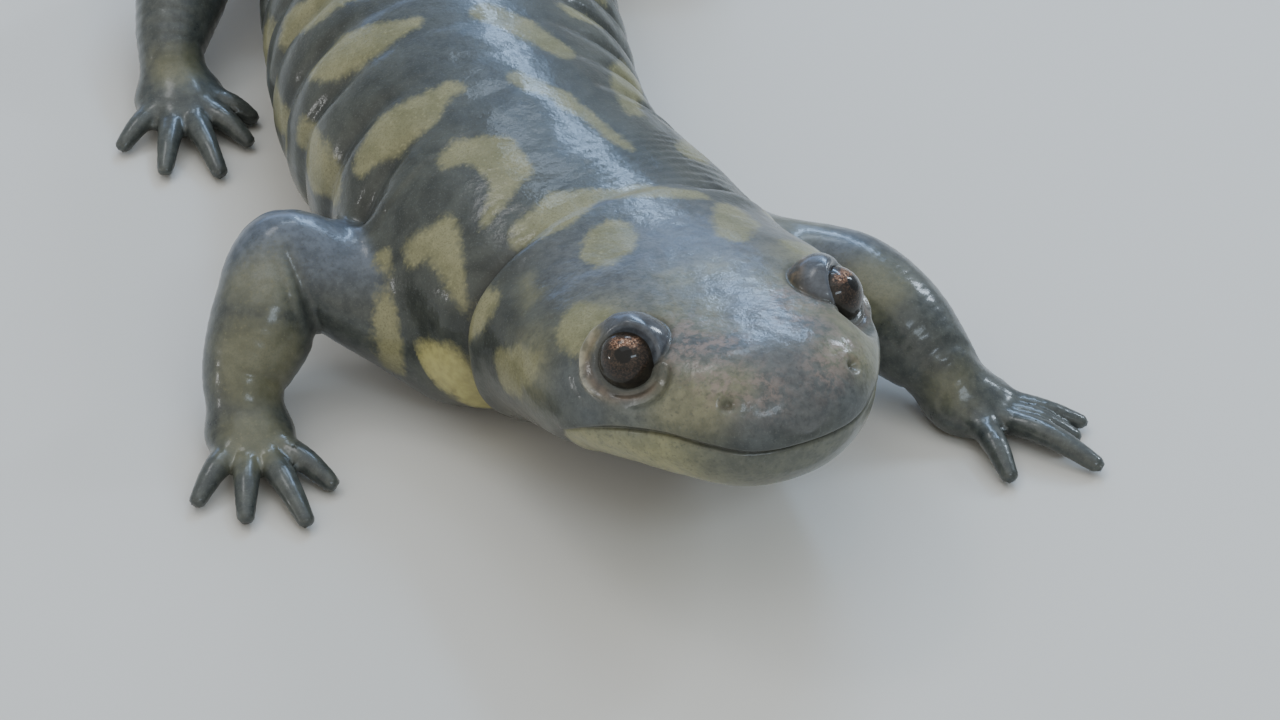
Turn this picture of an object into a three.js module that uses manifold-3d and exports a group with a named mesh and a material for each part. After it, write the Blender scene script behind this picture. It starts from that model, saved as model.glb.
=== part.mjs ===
// Barred tiger salamander, an adult 196 mm long that lies on its belly, holds its head up and turns
// it to its left. Millimetres, +Z up, the floor at Z 0. The animal faces -Y and its left side is +X.
// One body, from the snout to the tip of the tail, is lofted along a spine and parted by thin cuts.
// Each limb is lofted along its bones, parted at its joints and cut clear of the body.
import * as THREE from "three";
import { mergeVertices } from "three/addons/utils/BufferGeometryUtils.js";
import Module from "manifold-3d";

const wasm = await Module();
wasm.setup();

const clamp = THREE.MathUtils.clamp;
const radians = THREE.MathUtils.degToRad;

// ---------------------------------------------------------------------------------------------
// Driving sizes. "at" is the distance behind the tip of the snout, along the spine in plan.
// ---------------------------------------------------------------------------------------------
const TOTAL_LENGTH = 196;
const HEAD_LENGTH = 24.5; // to the fold across the throat
const SHOULDERS_AT = 32.5;
const NECK_END = 28.6;
const TORSO_SPLIT = 62.8;
const VENT_AT = 101; // end of the torso
const TAIL_SPLITS = [134, 165];
const GAP = 0.3; // between neighbouring nodes
const CENTRE = { x: -1.65, y: 63.3 }; // middle of the box round the animal, from its shoulders

// Heading of the spine in degrees: 0 runs straight back along +Y, positive turns the front end to +X.
const HEADING = [
  [0, 20], [22, 20], [29, 26], [36, 21], [46, 9], [58, 0], [72, -2], [84, 6], [96, 12],
  [112, 14], [135, 24], [160, 22], [196, 2],
];

// Height of the spine's axis above the floor.
const AXIS_HEIGHT = [
  [0, 14.3], [12, 11.7], [24.5, 9.4], [32.5, 8.9], [42, 8.3], [55, 8.0], [90, 7.8], [101, 7.3],
  [112, 6.7], [125, 6.2], [140, 5.7], [158, 4.8], [175, 3.6], [188, 2.4], [196, 1.3],
];

// Sections of the body: at, half width, height above the axis, depth below it, and how square the
// section is above and below the axis, where 2 is an ellipse.
const BODY = [
  [0, 10.3, 4.2, 4.7, 2.4, 2.1],
  [4, 9.7, 4.9, 4.7, 2.5, 2.1],
  [8, 10.1, 5.5, 4.8, 2.6, 2.2],
  [12, 11.0, 6.0, 5.4, 2.5, 2.2],
  [16, 11.5, 6.4, 6.0, 2.4, 2.2],
  [20, 11.5, 6.7, 6.5, 2.2, 2.4],
  [24.5, 11.4, 7.1, 7.6, 2.1, 2.8],
  [25.2, 11.2, 7.0, 7.4, 2.1, 2.8],
  [28, 12.1, 7.3, 8.4, 2.0, 3.1],
  [32.5, 12.4, 8.1, 8.6, 2.0, 3.1],
  [38, 12.0, 9.2, 8.4, 2.0, 2.6],
  [45, 12.3, 9.9, 8.3, 2.0, 2.4],
  [56, 12.8, 10.3, 8.4, 2.0, 2.5],
  [70, 12.8, 10.2, 8.3, 2.0, 2.5],
  [82, 11.6, 9.6, 8.1, 2.0, 2.4],
  [92, 9.4, 8.9, 7.9, 2.0, 2.3],
  [101, 7.4, 8.0, 7.6, 1.9, 2.2],
  [112, 6.0, 7.5, 6.9, 1.9, 2.1],
  [125, 5.1, 7.4, 6.4, 1.8, 2.0],
  [140, 4.4, 7.0, 5.9, 1.8, 2.0],
  [158, 3.6, 6.0, 5.0, 1.8, 2.0],
  [175, 2.6, 4.6, 3.8, 1.8, 2.0],
  [188, 1.7, 3.0, 2.6, 1.8, 2.0],
  [196, 1.1, 1.8, 1.5, 1.8, 2.0],
];
const SNOUT_ROUND = { wide: 13, tall: 4.2, power: 2.2 }; // lengths over which the snout rounds off
const TAIL_ROUND = 4;

// The grooves between the ribs, on both flanks.
const COSTAL = { first: 38, spacing: 4.4, count: 12, depth: 0.4 };

// Head. Places are [at, side, up]: behind the snout, to the animal's left and above the axis.
const EYE = { at: 9.1, side: 7.2, up: 3.7, radius: 2.0 };
const EYE_LOOKS = { forward: 0.74, side: 0.54, up: 0.5 };
const LIDS = { radius: 2.9, back: 0.35, opening: 64 }; // a mound set back from the eye, open in a cone
const NOSTRIL = { at: 2.2, side: 4.1, up: 2.3, radius: 0.45, inner: 0.27, depth: 1.1 };
const NOSTRIL_LOOKS = { forward: 0.7, side: 0.6, up: 0.5 };
const LIP_OVERHANG = 0.3; // of the upper lip past the lower jaw
// Line of the closed mouth, seen from the side, as [at, up], on down behind its corners to the throat.
const MOUTH_LINE = [
  [-3, -1.2], [0, -0.9], [2, 0], [4.5, 0.5], [7, 0.3], [10, -0.5], [12.6, -1.6],
  [14.2, -3.2], [15.2, -6], [15.6, -10],
];

// ---------------------------------------------------------------------------------------------
// Curves through named sizes
// ---------------------------------------------------------------------------------------------

// A smooth curve through one column of a table, which never swings past the table's values.
function through(rows, column = 1) {
  const x = rows.map((row) => row[0]);
  const y = rows.map((row) => row[column]);
  const slope = x.slice(1).map((v, i) => (y[i + 1] - y[i]) / (v - x[i]));
  const tangent = x.map((_, i) => {
    const before = slope[Math.max(i - 1, 0)];
    const after = slope[Math.min(i, slope.length - 1)];
    return before * after <= 0 ? 0 : (2 * before * after) / (before + after);
  });
  return (at) => {
    const v = clamp(at, x[0], x[x.length - 1]);
    const i = clamp(x.findLastIndex((start) => start <= v), 0, x.length - 2);
    const h = x[i + 1] - x[i];
    const t = (v - x[i]) / h;
    return (
      y[i] * (1 + 2 * t) * (1 - t) ** 2 +
      tangent[i] * h * t * (1 - t) ** 2 +
      y[i + 1] * t * t * (3 - 2 * t) +
      tangent[i + 1] * h * t * t * (t - 1)
    );
  };
}

const halfWidth = through(BODY, 1);
const above = through(BODY, 2);
const below = through(BODY, 3);
const squareTop = through(BODY, 4);
const squareBottom = through(BODY, 5);
const heading = through(HEADING);
const axisHeight = through(AXIS_HEIGHT);

// The spine in plan, walked back from the snout in short steps and moved to have its shoulders at 0, 0.
const STEP = 0.25;
const spine = [new THREE.Vector2()];
for (let at = STEP; at <= TOTAL_LENGTH; at += STEP) {
  const turn = radians(heading(at - STEP / 2));
  const step = new THREE.Vector2(-Math.sin(turn), Math.cos(turn)).multiplyScalar(STEP);
  spine.push(spine.at(-1).clone().add(step));
}
const shoulders = spine[SHOULDERS_AT / STEP].clone();
spine.forEach((point) => point.sub(shoulders));

// A point of the animal, from its distance behind the snout, to the left of the axis and above it.
function onBody(at, side, up) {
  const v = clamp(at / STEP, 0, spine.length - 1.001);
  const p = spine[Math.floor(v)].clone().lerp(spine[Math.floor(v) + 1], v % 1);
  const turn = radians(heading(at));
  const rise = (axisHeight(at + 1) - axisHeight(at - 1)) / 2;
  const leftward = new THREE.Vector3(Math.cos(turn), Math.sin(turn), 0);
  const upward = new THREE.Vector3(rise * Math.sin(turn), -rise * Math.cos(turn), 1).normalize();
  const past = at - clamp(at, 0, TOTAL_LENGTH);
  return new THREE.Vector3(p.x - past * Math.sin(turn), p.y + past * Math.cos(turn), axisHeight(at))
    .addScaledVector(leftward, side)
    .addScaledVector(upward, up);
}

const roundedEnd = (t, power) => (1 - (1 - clamp(t, 0, 1)) ** power) ** (1 / power);

function costalGroove(at) {
  const turns = (at - COSTAL.first) / COSTAL.spacing;
  const inside = turns > -0.5 && turns < COSTAL.count - 0.5;
  return inside ? COSTAL.depth * Math.max(0, Math.cos(2 * Math.PI * turns)) : 0;
}

// The body's outline at a section, as [side, up], for an angle counted from the left over the top.
function bodyOutline(at, angle, grow) {
  const c = Math.cos(angle);
  const s = Math.sin(angle);
  const tailEnd = roundedEnd((TOTAL_LENGTH - at) / TAIL_ROUND, 2);
  const wideEnd = roundedEnd(at / SNOUT_ROUND.wide, SNOUT_ROUND.power) * tailEnd;
  const tallEnd = roundedEnd(at / SNOUT_ROUND.tall, 2) * tailEnd;
  const wide = (halfWidth(at) + grow - costalGroove(at)) * wideEnd;
  const tall = ((s > 0 ? above(at) : below(at)) + grow) * tallEnd;
  const power = 2 / (s > 0 ? squareTop(at) : squareBottom(at));
  return [wide * Math.sign(c) * Math.abs(c) ** power, tall * Math.sign(s) * Math.abs(s) ** power];
}

// ---------------------------------------------------------------------------------------------
// Solids
// ---------------------------------------------------------------------------------------------
function solidOf(geometry) {
  const bare = geometry.clone();
  bare.deleteAttribute("normal");
  bare.deleteAttribute("uv");
  const merged = mergeVertices(bare, 1e-4);
  const vertProperties = new Float32Array(merged.attributes.position.array);
  const triVerts = new Uint32Array(merged.index.array);
  return new wasm.Manifold(new wasm.Mesh({ numProp: 3, vertProperties, triVerts }));
}

function geometryOf(solid) {
  const mesh = solid.getMesh();
  return new THREE.BufferGeometry()
    .setAttribute("position", new THREE.BufferAttribute(new Float32Array(mesh.vertProperties), 3))
    .setIndex(new THREE.BufferAttribute(new Uint32Array(mesh.triVerts), 1));
}

// The solid's separate bodies, the largest first.
const bodiesOf = (solid) => solid.decompose().sort((a, b) => b.volume() - a.volume());

// A closed solid over rings of points that run clockwise as seen from the first ring's far side.
function loft(rings) {
  const n = rings[0].length;
  const middle = (ring) => ring.reduce((sum, p) => sum.add(p), new THREE.Vector3()).divideScalar(n);
  const points = [...rings.flat(), middle(rings[0]), middle(rings.at(-1))];
  const firstMiddle = points.length - 2;
  const lastRing = (rings.length - 1) * n;
  const faces = [];
  for (let k = 0; k < n; k++) {
    const next = (k + 1) % n;
    for (let ring = 0; ring < lastRing; ring += n) {
      faces.push(ring + k, ring + n + k, ring + next, ring + next, ring + n + k, ring + n + next);
    }
    faces.push(firstMiddle, k, next, firstMiddle + 1, lastRing + next, lastRing + k);
  }
  return solidOf(new THREE.BufferGeometry().setFromPoints(points).setIndex(faces));
}

// Even steps of about the given size.
function steps(from, to, size) {
  const n = Math.max(1, Math.round((to - from) / size));
  return Array.from({ length: n + 1 }, (_, i) => from + ((to - from) * i) / n);
}

// A length of the body over stations behind the snout.
function bodyLength(stations, sides, grow = 0) {
  const angles = Array.from({ length: sides }, (_, k) => ((k + 0.5) * 2 * Math.PI) / sides);
  return loft(stations.map((at) => angles.map((angle) => onBody(at, ...bodyOutline(at, angle, grow)))));
}

const floorBlock = solidOf(new THREE.BoxGeometry(400, 500, 100).translate(0, 50, -50));
const aboveFloor = (solid) => solid.subtract(floorBlock);

// ---------------------------------------------------------------------------------------------
// Limbs
// ---------------------------------------------------------------------------------------------
// Joints are [x, y, z] from the middle of the shoulders: root, elbow or knee, wrist or ankle. Girth is
// the radius at the root, half way to the joint, at the joint, half way to the wrist or ankle, there,
// and in the palm or sole. Digits are [fan in degrees, length].
const ARM_GIRTH = [3.9, 3.5, 3.2, 3.6, 2.7, 1.8];
const LEG_GIRTH = [5.4, 4.6, 3.7, 3.6, 2.4, 1.8];
const HAND = { wide: 3.0, long: 3.2, thick: 1.8 };
const FOOT = { wide: 3.3, long: 3.6, thick: 1.9 };
const SOLE_HEIGHT = 1.4; // of the middle of the palm above the floor
const LIMBS = {
  right_fore: {
    nodes: ["upper_arm_right", "forearm_right", "hand_right"],
    joints: [[-7.5, -4.3, 4.6], [-18.2, 0.5, 9.0], [-21.6, -5.6, 3.4]],
    girth: ARM_GIRTH,
    palm: HAND,
    heading: 2,
    digits: [[-34, 6], [-8, 7.2], [16, 8.6], [40, 6.2]],
  },
  left_fore: {
    nodes: ["upper_arm_left", "forearm_left", "hand_left"],
    joints: [[7.2, 1.9, 6.3], [19.5, -4.3, 6.8], [24.0, -9.6, 3.6]],
    girth: ARM_GIRTH,
    palm: HAND,
    heading: 45,
    digits: [[-34, 6.5], [1, 9.2], [14, 6.4], [27, 6.5]],
  },
  right_hind: {
    nodes: ["thigh_right", "shank_right", "foot_right"],
    joints: [[-8.5, 56.5, 6.8], [-21.0, 48.5, 8.6], [-24.0, 36.2, 3.4]],
    girth: LEG_GIRTH,
    palm: FOOT,
    heading: 5,
    digits: [[-46, 5.2], [-15, 7.4], [9, 8.4], [34, 6], [58, 4.4]],
  },
  left_hind: {
    nodes: ["thigh_left", "shank_left", "foot_left"],
    joints: [[-1.0, 57.5, 6.8], [15.8, 51.5, 8.6], [20.4, 63.0, 3.4]],
    girth: LEG_GIRTH,
    palm: FOOT,
    heading: 52,
    digits: [[-54, 4.4], [-28, 6.2], [-4, 8.4], [20, 7.6], [46, 5.4]],
  },
};
// A toe's radii, the height of its middle at its arch, its depth over its width, the part of its
// length that rounds off its tip, how far out in the palm it starts and how its root is fanned.
const TOE = { root: 1.3, tip: 0.55, arch: 1.5, flatness: 0.85, end: 0.12, start: 0.45, fan: 1.25 };
const MUSCLE_AT = [0.55, 0.45]; // fullest place of the upper and lower length, from its own start
const PALM_AHEAD = 0.9; // middle of the palm before the wrist, in palm lengths
const JOINT_OVERLAP = 0.05; // how far a limb's lofts run past the plane that parts them
const LIMB_FACETS = { rings: 9, sides: 16 };
const TOE_FACETS = { rings: 6, sides: 8 };

const forwardAt = (angle) => new THREE.Vector3(Math.sin(radians(angle)), -Math.cos(radians(angle)), 0);

// A round length along a curve, from one place on it to another.
function tube(curve, radiusAt, from, to, facets, flatness = 1) {
  const rings = steps(from, to, (to - from) / facets.rings).map((t) => {
    const centre = curve.getPoint(t);
    const along = curve.getTangent(t);
    const side = new THREE.Vector3(0, 0, 1).cross(along).normalize();
    const up = along.clone().cross(side);
    return Array.from({ length: facets.sides }, (_, k) => {
      const angle = (-k * 2 * Math.PI) / facets.sides;
      return centre
        .clone()
        .addScaledVector(side, radiusAt(t) * Math.cos(angle))
        .addScaledVector(up, radiusAt(t) * flatness * Math.sin(angle));
    });
  });
  return loft(rings);
}

function palmSolid(centre, palm, heading) {
  const geometry = new THREE.SphereGeometry(1, 16, 8)
    .rotateX(Math.PI / 2)
    .scale(palm.wide, palm.long, palm.thick)
    .rotateZ(radians(heading))
    .translate(...centre);
  return solidOf(geometry);
}

function toeSolid(centre, palm, heading, fan, length) {
  const start = centre.clone().addScaledVector(forwardAt(heading + fan * TOE.fan), palm.wide * TOE.start);
  const along = forwardAt(heading + fan);
  const heights = [TOE.root * TOE.flatness, TOE.arch, TOE.tip];
  const points = heights.map((z, i) => start.clone().addScaledVector(along, (length * i) / 2).setZ(z));
  const blunt = 0.1; // the last ring keeps a small width
  const rounding = (t) => roundedEnd((1 - t) / TOE.end + blunt, 2);
  const radiusAt = (t) => THREE.MathUtils.lerp(TOE.root, TOE.tip, t) * rounding(t);
  return tube(new THREE.CatmullRomCurve3(points), radiusAt, 0, 1, TOE_FACETS, TOE.flatness);
}

// Parts a limb by planes across its curve, and returns its upper and lower lengths and its foot.
function limbSolids({ joints, girth, palm, heading, digits }) {
  const [root, joint, ankle] = joints.map((p) => new THREE.Vector3(...p));
  const centre = ankle.clone().addScaledVector(forwardAt(heading), palm.long * PALM_AHEAD).setZ(SOLE_HEIGHT);
  const upperMuscle = root.clone().lerp(joint, MUSCLE_AT[0]);
  const lowerMuscle = joint.clone().lerp(ankle, MUSCLE_AT[1]);
  const points = [root, upperMuscle, joint, lowerMuscle, ankle, centre];
  const curve = new THREE.CatmullRomCurve3(points, false, "centripetal");
  const last = points.length - 1;
  const radiusAt = through(girth.map((radius, i) => [i / last, radius]));
  const bend = 2 / last;
  const wrist = 4 / last;
  const length = (from, to) =>
    tube(curve, radiusAt, Math.max(0, from - JOINT_OVERLAP), Math.min(1, to + JOINT_OVERLAP), LIMB_FACETS);
  const keepBefore = (solid, t) => {
    const normal = curve.getTangent(t);
    const distance = curve.getPoint(t).dot(normal) - GAP;
    return solid.trimByPlane(normal.negate().toArray(), -distance);
  };
  const keepAfter = (solid, t) => {
    const normal = curve.getTangent(t);
    return solid.trimByPlane(normal.toArray(), curve.getPoint(t).dot(normal));
  };
  const foot = digits.reduce(
    (solid, [fan, long]) => solid.add(toeSolid(centre, palm, heading, fan, long)),
    keepAfter(length(wrist, 1), wrist).add(palmSolid(centre, palm, heading)),
  );
  return {
    upper: keepBefore(length(0, bend), bend),
    lower: keepBefore(keepAfter(length(bend, wrist), bend), wrist),
    foot: keepAfter(foot, wrist),
  };
}

// ---------------------------------------------------------------------------------------------
// Head
// ---------------------------------------------------------------------------------------------
const HEAD_STATIONS = [0.04, 0.35, 0.9, 1.7, 2.7, 4, 5.5, 7, 9, 11, 13, 15, 17, 19, 21, 23, HEAD_LENGTH];
const HEAD_SIDES = 40;

// A thin sheet along the line of the mouth, wider than the head.
function mouthCut() {
  const reach = 20;
  return loft(
    MOUTH_LINE.map(([at, up], i) => {
      const [beforeAt, beforeUp] = MOUTH_LINE[Math.max(i - 1, 0)];
      const [afterAt, afterUp] = MOUTH_LINE[Math.min(i + 1, MOUTH_LINE.length - 1)];
      const across = new THREE.Vector2(beforeUp - afterUp, afterAt - beforeAt).normalize();
      across.multiplyScalar(GAP / 2);
      return [[1, 1], [-1, 1], [-1, -1], [1, -1]].map(([side, way]) =>
        onBody(at + way * across.x, side * reach, up + way * across.y),
      );
    }),
  );
}

// Places a shape made round +Z at a point of the head, with +Z turned to look outwards.
function placeOnHead(geometry, { at, side, up }, hand, looks) {
  const origin = onBody(at, hand * side, up);
  const ahead = onBody(at - looks.forward, hand * (side + looks.side), up + looks.up).sub(origin);
  const turn = new THREE.Quaternion().setFromUnitVectors(new THREE.Vector3(0, 0, 1), ahead.normalize());
  return solidOf(geometry.applyQuaternion(turn).translate(...origin));
}

const eyeBall = (hand, grow) =>
  placeOnHead(new THREE.SphereGeometry(EYE.radius + grow, 20, 14), EYE, hand, EYE_LOOKS);
const lidMound = (hand, grow) => {
  const mound = new THREE.SphereGeometry(LIDS.radius + grow, 24, 16).translate(0, 0, -LIDS.back);
  return placeOnHead(mound, EYE, hand, EYE_LOOKS);
};

// A cone from the middle of the eye out to just past the lids.
function lidOpening(hand) {
  const height = 2 * LIDS.radius;
  const radius = height * Math.tan(radians(LIDS.opening));
  const cone = new THREE.ConeGeometry(radius, height, 28).rotateX(-Math.PI / 2).translate(0, 0, height / 2);
  return placeOnHead(cone, EYE, hand, EYE_LOOKS).intersect(lidMound(hand, GAP));
}

const nostrilPit = (hand) =>
  placeOnHead(
    new THREE.CylinderGeometry(NOSTRIL.radius, NOSTRIL.inner, 2 * NOSTRIL.depth, 10).rotateX(Math.PI / 2),
    NOSTRIL,
    hand,
    NOSTRIL_LOOKS,
  );

const skull = [1, -1].reduce(
  (solid, hand) => {
    const lidded = solid.add(lidMound(hand, 0)).subtract(lidOpening(hand));
    return lidded.subtract(eyeBall(hand, GAP)).subtract(nostrilPit(hand));
  },
  bodyLength(HEAD_STATIONS, HEAD_SIDES),
);
const head = bodiesOf(skull.subtract(mouthCut()))[0];
const lowerJaw = bodiesOf(bodyLength(HEAD_STATIONS, HEAD_SIDES, -LIP_OVERHANG).subtract(mouthCut()))[1];

// ---------------------------------------------------------------------------------------------
// The animal
// ---------------------------------------------------------------------------------------------
const skin = new THREE.MeshStandardMaterial({ color: 0x565c52, roughness: 0.35, metalness: 0 });
const jawSkin = new THREE.MeshStandardMaterial({ color: 0x868662, roughness: 0.35, metalness: 0 });
const eyeSurface = new THREE.MeshStandardMaterial({ color: 0x2a1c14, roughness: 0.05, metalness: 0 });

const animal = new THREE.Group();

function node(name, solid, material = skin) {
  const mesh = new THREE.Mesh(geometryOf(bodiesOf(aboveFloor(solid))[0]), material);
  mesh.name = name;
  mesh.position.set(-CENTRE.x, -CENTRE.y, 0);
  animal.add(mesh);
}

const BODY_SIDES = 28;
const ribs = COSTAL.spacing / 2; // every second ring lies in a groove
const LENGTHS = {
  neck: [steps(HEAD_LENGTH + GAP, NECK_END, 1.4), BODY_SIDES],
  torso_front: [[NECK_END + GAP, 31, 33.6, ...steps(35.8, TORSO_SPLIT, ribs)], BODY_SIDES],
  torso_rear: [[TORSO_SPLIT + GAP, ...steps(64.4, 88.6, ribs), 92, 96, VENT_AT], BODY_SIDES],
  tail_base: [steps(VENT_AT + GAP, TAIL_SPLITS[0], 4), 20],
  tail_middle: [steps(TAIL_SPLITS[0] + GAP, TAIL_SPLITS[1], 5), 16],
  tail_tip: [[...steps(TAIL_SPLITS[1] + GAP, 191, 5), 193.5, 195.2, 195.9], 14],
};
node("head", head);
node("lower_jaw", lowerJaw, jawSkin);
node("eye_left", eyeBall(1, 0), eyeSurface);
node("eye_right", eyeBall(-1, 0), eyeSurface);
for (const [name, [stations, sides]] of Object.entries(LENGTHS)) {
  node(name, bodyLength(stations, sides));
}

// Limbs keep clear of the body by the gap.
const keepClear = bodyLength([0.04, 1.7, 5.5, ...steps(9, 100, 3)], BODY_SIDES, GAP);
for (const limb of Object.values(LIMBS)) {
  const { upper, lower, foot } = limbSolids(limb);
  node(limb.nodes[0], upper.subtract(keepClear));
  node(limb.nodes[1], lower.subtract(keepClear));
  node(limb.nodes[2], foot);
}

export default animal;
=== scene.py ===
import math

import bpy
import numpy as np
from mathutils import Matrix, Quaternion, Vector


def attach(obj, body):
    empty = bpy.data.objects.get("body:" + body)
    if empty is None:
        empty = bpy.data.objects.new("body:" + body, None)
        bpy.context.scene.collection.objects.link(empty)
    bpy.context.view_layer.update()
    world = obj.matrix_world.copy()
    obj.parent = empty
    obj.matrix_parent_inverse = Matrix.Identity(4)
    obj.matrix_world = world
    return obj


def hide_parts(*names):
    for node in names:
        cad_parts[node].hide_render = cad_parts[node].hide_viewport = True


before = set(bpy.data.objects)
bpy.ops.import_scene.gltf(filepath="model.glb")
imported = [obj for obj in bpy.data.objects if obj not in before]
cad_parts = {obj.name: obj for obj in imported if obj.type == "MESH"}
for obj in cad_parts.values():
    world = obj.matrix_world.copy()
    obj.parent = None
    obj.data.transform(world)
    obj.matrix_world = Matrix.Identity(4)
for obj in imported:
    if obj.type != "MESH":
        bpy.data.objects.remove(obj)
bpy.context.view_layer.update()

# ==== Sizes
# In millimetres from the middle of the shoulders at floor height, as in the CAD source.
# "at" is the distance behind the tip of the snout, along the spine in plan.
MM = 0.001
TOTAL_LENGTH = 196
SHOULDERS_AT = 32.5
STEP = 0.25
CENTRE = np.array([-1.65, 63.3, 0.0])

HEADING = [
    (0, 20), (22, 20), (29, 26), (36, 21), (46, 9), (58, 0), (72, -2), (84, 6), (96, 12),
    (112, 14), (135, 24), (160, 22), (196, 2),
]
AXIS_HEIGHT = [
    (0, 14.3), (12, 11.7), (24.5, 9.4), (32.5, 8.9), (42, 8.3), (55, 8.0), (90, 7.8), (101, 7.3),
    (112, 6.7), (125, 6.2), (140, 5.7), (158, 4.8), (175, 3.6), (188, 2.4), (196, 1.3),
]
# at, half width, height above the axis, depth below it, squareness above and below the axis
BODY = [
    (0, 10.3, 4.2, 4.7, 2.4, 2.1),
    (4, 9.7, 4.9, 4.7, 2.5, 2.1),
    (8, 10.1, 5.5, 4.8, 2.6, 2.2),
    (12, 11.0, 6.0, 5.4, 2.5, 2.2),
    (16, 11.5, 6.4, 6.0, 2.4, 2.2),
    (20, 11.5, 6.7, 6.5, 2.2, 2.4),
    (24.5, 11.4, 7.1, 7.6, 2.1, 2.8),
    (25.2, 11.2, 7.0, 7.4, 2.1, 2.8),
    (28, 12.1, 7.3, 8.4, 2.0, 3.1),
    (32.5, 12.4, 8.1, 8.6, 2.0, 3.1),
    (38, 12.0, 9.2, 8.4, 2.0, 2.6),
    (45, 12.3, 9.9, 8.3, 2.0, 2.4),
    (56, 12.8, 10.3, 8.4, 2.0, 2.5),
    (70, 12.8, 10.2, 8.3, 2.0, 2.5),
    (82, 11.6, 9.6, 8.1, 2.0, 2.4),
    (92, 9.4, 8.9, 7.9, 2.0, 2.3),
    (101, 7.4, 8.0, 7.6, 1.9, 2.2),
    (112, 6.0, 7.5, 6.9, 1.9, 2.1),
    (125, 5.1, 7.4, 6.4, 1.8, 2.0),
    (140, 4.4, 7.0, 5.9, 1.8, 2.0),
    (158, 3.6, 6.0, 5.0, 1.8, 2.0),
    (175, 2.6, 4.6, 3.8, 1.8, 2.0),
    (188, 1.7, 3.0, 2.6, 1.8, 2.0),
    (196, 1.1, 1.8, 1.5, 1.8, 2.0),
]
SNOUT_ROUND = {"wide": 13, "tall": 4.2, "power": 2.2}
TAIL_ROUND = 4
COSTAL = {"first": 38, "spacing": 4.4, "count": 12, "depth": 0.42}
EYE = {"at": 9.1, "side": 7.2, "up": 3.7, "radius": 2.0}
EYE_LOOKS = {"forward": 0.74, "side": 0.54, "up": 0.5}
GAZE = {"forward": 0.7, "side": 0.5, "up": 0.6}
LIDS = {"radius": 2.85, "back": 0.35, "opening": 66, "slope": 34, "thin": 0.55}
UPPER_LID = {"swell": 0.2, "closes": 13, "inward": 1.5, "thin": 0.1}
NOSTRIL = {"at": 2.2, "side": 4.1, "up": 2.3}
NOSTRIL_LOOKS = {"forward": 0.7, "side": 0.6, "up": 0.5}
MOUTH_LINE = [
    (-3, -1.2), (0, -0.9), (2, 0), (4.5, 0.5), (7, 0.3), (10, -0.5), (12.6, -1.6), (14.2, -3.2),
    (15.2, -6), (15.6, -10),
]

ARM_GIRTH = [3.9, 3.5, 3.2, 3.6, 2.7, 1.8]
LEG_GIRTH = [5.4, 4.6, 3.7, 3.6, 2.4, 1.8]
HAND = {"wide": 3.0, "long": 3.2, "thick": 1.8}
FOOT = {"wide": 3.3, "long": 3.6, "thick": 1.9}
SOLE_HEIGHT = 1.4
MUSCLE_AT = (0.55, 0.45)
PALM_AHEAD = 0.9
TOE = {"root": 1.3, "tip": 0.55, "arch": 1.5, "flatness": 0.85, "end": 0.12, "start": 0.45, "fan": 1.25}
# The joints are the root, the elbow or knee, and the ankle. A digit is an angle and a length.
LIMBS = {
    "right_fore": {
        "joints": [(-7.5, -4.3, 4.6), (-18.2, 0.5, 9.0), (-21.6, -5.6, 3.4)],
        "girth": ARM_GIRTH, "palm": HAND, "heading": 2,
        "digits": [(-34, 6), (-8, 7.2), (16, 8.6), (40, 6.2)],
    },
    "left_fore": {
        "joints": [(7.2, 1.9, 6.3), (19.5, -4.3, 6.8), (24.0, -9.6, 3.6)],
        "girth": ARM_GIRTH, "palm": HAND, "heading": 45,
        "digits": [(-34, 6.5), (1, 9.2), (14, 6.4), (27, 6.5)],
    },
    "right_hind": {
        "joints": [(-8.5, 56.5, 6.8), (-21.0, 48.5, 8.6), (-24.0, 36.2, 3.4)],
        "girth": LEG_GIRTH, "palm": FOOT, "heading": 5,
        "digits": [(-46, 5.2), (-15, 7.4), (9, 8.4), (34, 6), (58, 4.4)],
    },
    "left_hind": {
        "joints": [(-1.0, 57.5, 6.8), (15.8, 51.5, 8.6), (20.4, 63.0, 3.4)],
        "girth": LEG_GIRTH, "palm": FOOT, "heading": 52,
        "digits": [(-54, 4.4), (-28, 6.2), (-4, 8.4), (20, 7.6), (46, 5.4)],
    },
}

# How widely shapes melt into each other.
MELT = {"shoulder": 2.4, "palm": 1.2, "toe": 0.7, "lid": 0.5, "rim": 0.3, "floor": 0.5}
# The cone that opens the lids fades out between these distances from the eye, as its edge softens.
LID_CUT = {"from": 3.2, "to": 5.2, "lift": 1.6, "soften": 0.5}

# How deep each fold is cut, or how high each swelling stands.
RELIEF = {
    "mouth": 0.34, "jaw_inset": 0.26, "lip": 0.12, "mouth_corner": 0.22,
    "nostril": 0.42, "nostril_rim": 0.025,
    "lid_foot": 0.13, "lid_dish": 0.08, "lid_crest": 0.28, "lid_under": 0.04, "lid_uneven": 0.05,
    "cheek": 0.2, "throat_fold": 0.42, "neck_wrinkle": 0.03, "behind_arm": 0.22,
    "rib_swell": 0.1, "tail_ring": 0.07,
}
THROAT_FOLD_AT = 24.9
CHEEK_AT = 23.6
BEHIND_ARM_AT = 37.2
WRINKLE_SPACING = 0.8
RING_SPACING = 3.4
# Distance from the middle of the eye to the creases of the lower lid and its rolled edge.
LOWER_LID = {"dish": 2.45, "middle": 2.65, "crest": 2.95, "under": 3.6}
# Folds at the bends of a limb: place along it from 0 to 1, depth, width, distance behind the place.
LIMB_FOLDS = [(0.4, 0.2, 0.3, 0.0), (0.4, 0.1, 0.25, 1.0), (0.8, 0.12, 0.25, 0.0)]
# Soft unevenness of the skin: depth, width of its blotches, seed.
UNEVENNESS = [(0.07, 4.5, 3), (0.045, 1.9, 4)]
FINE_UNEVENNESS = (0.016, 0.75, 5)

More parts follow.
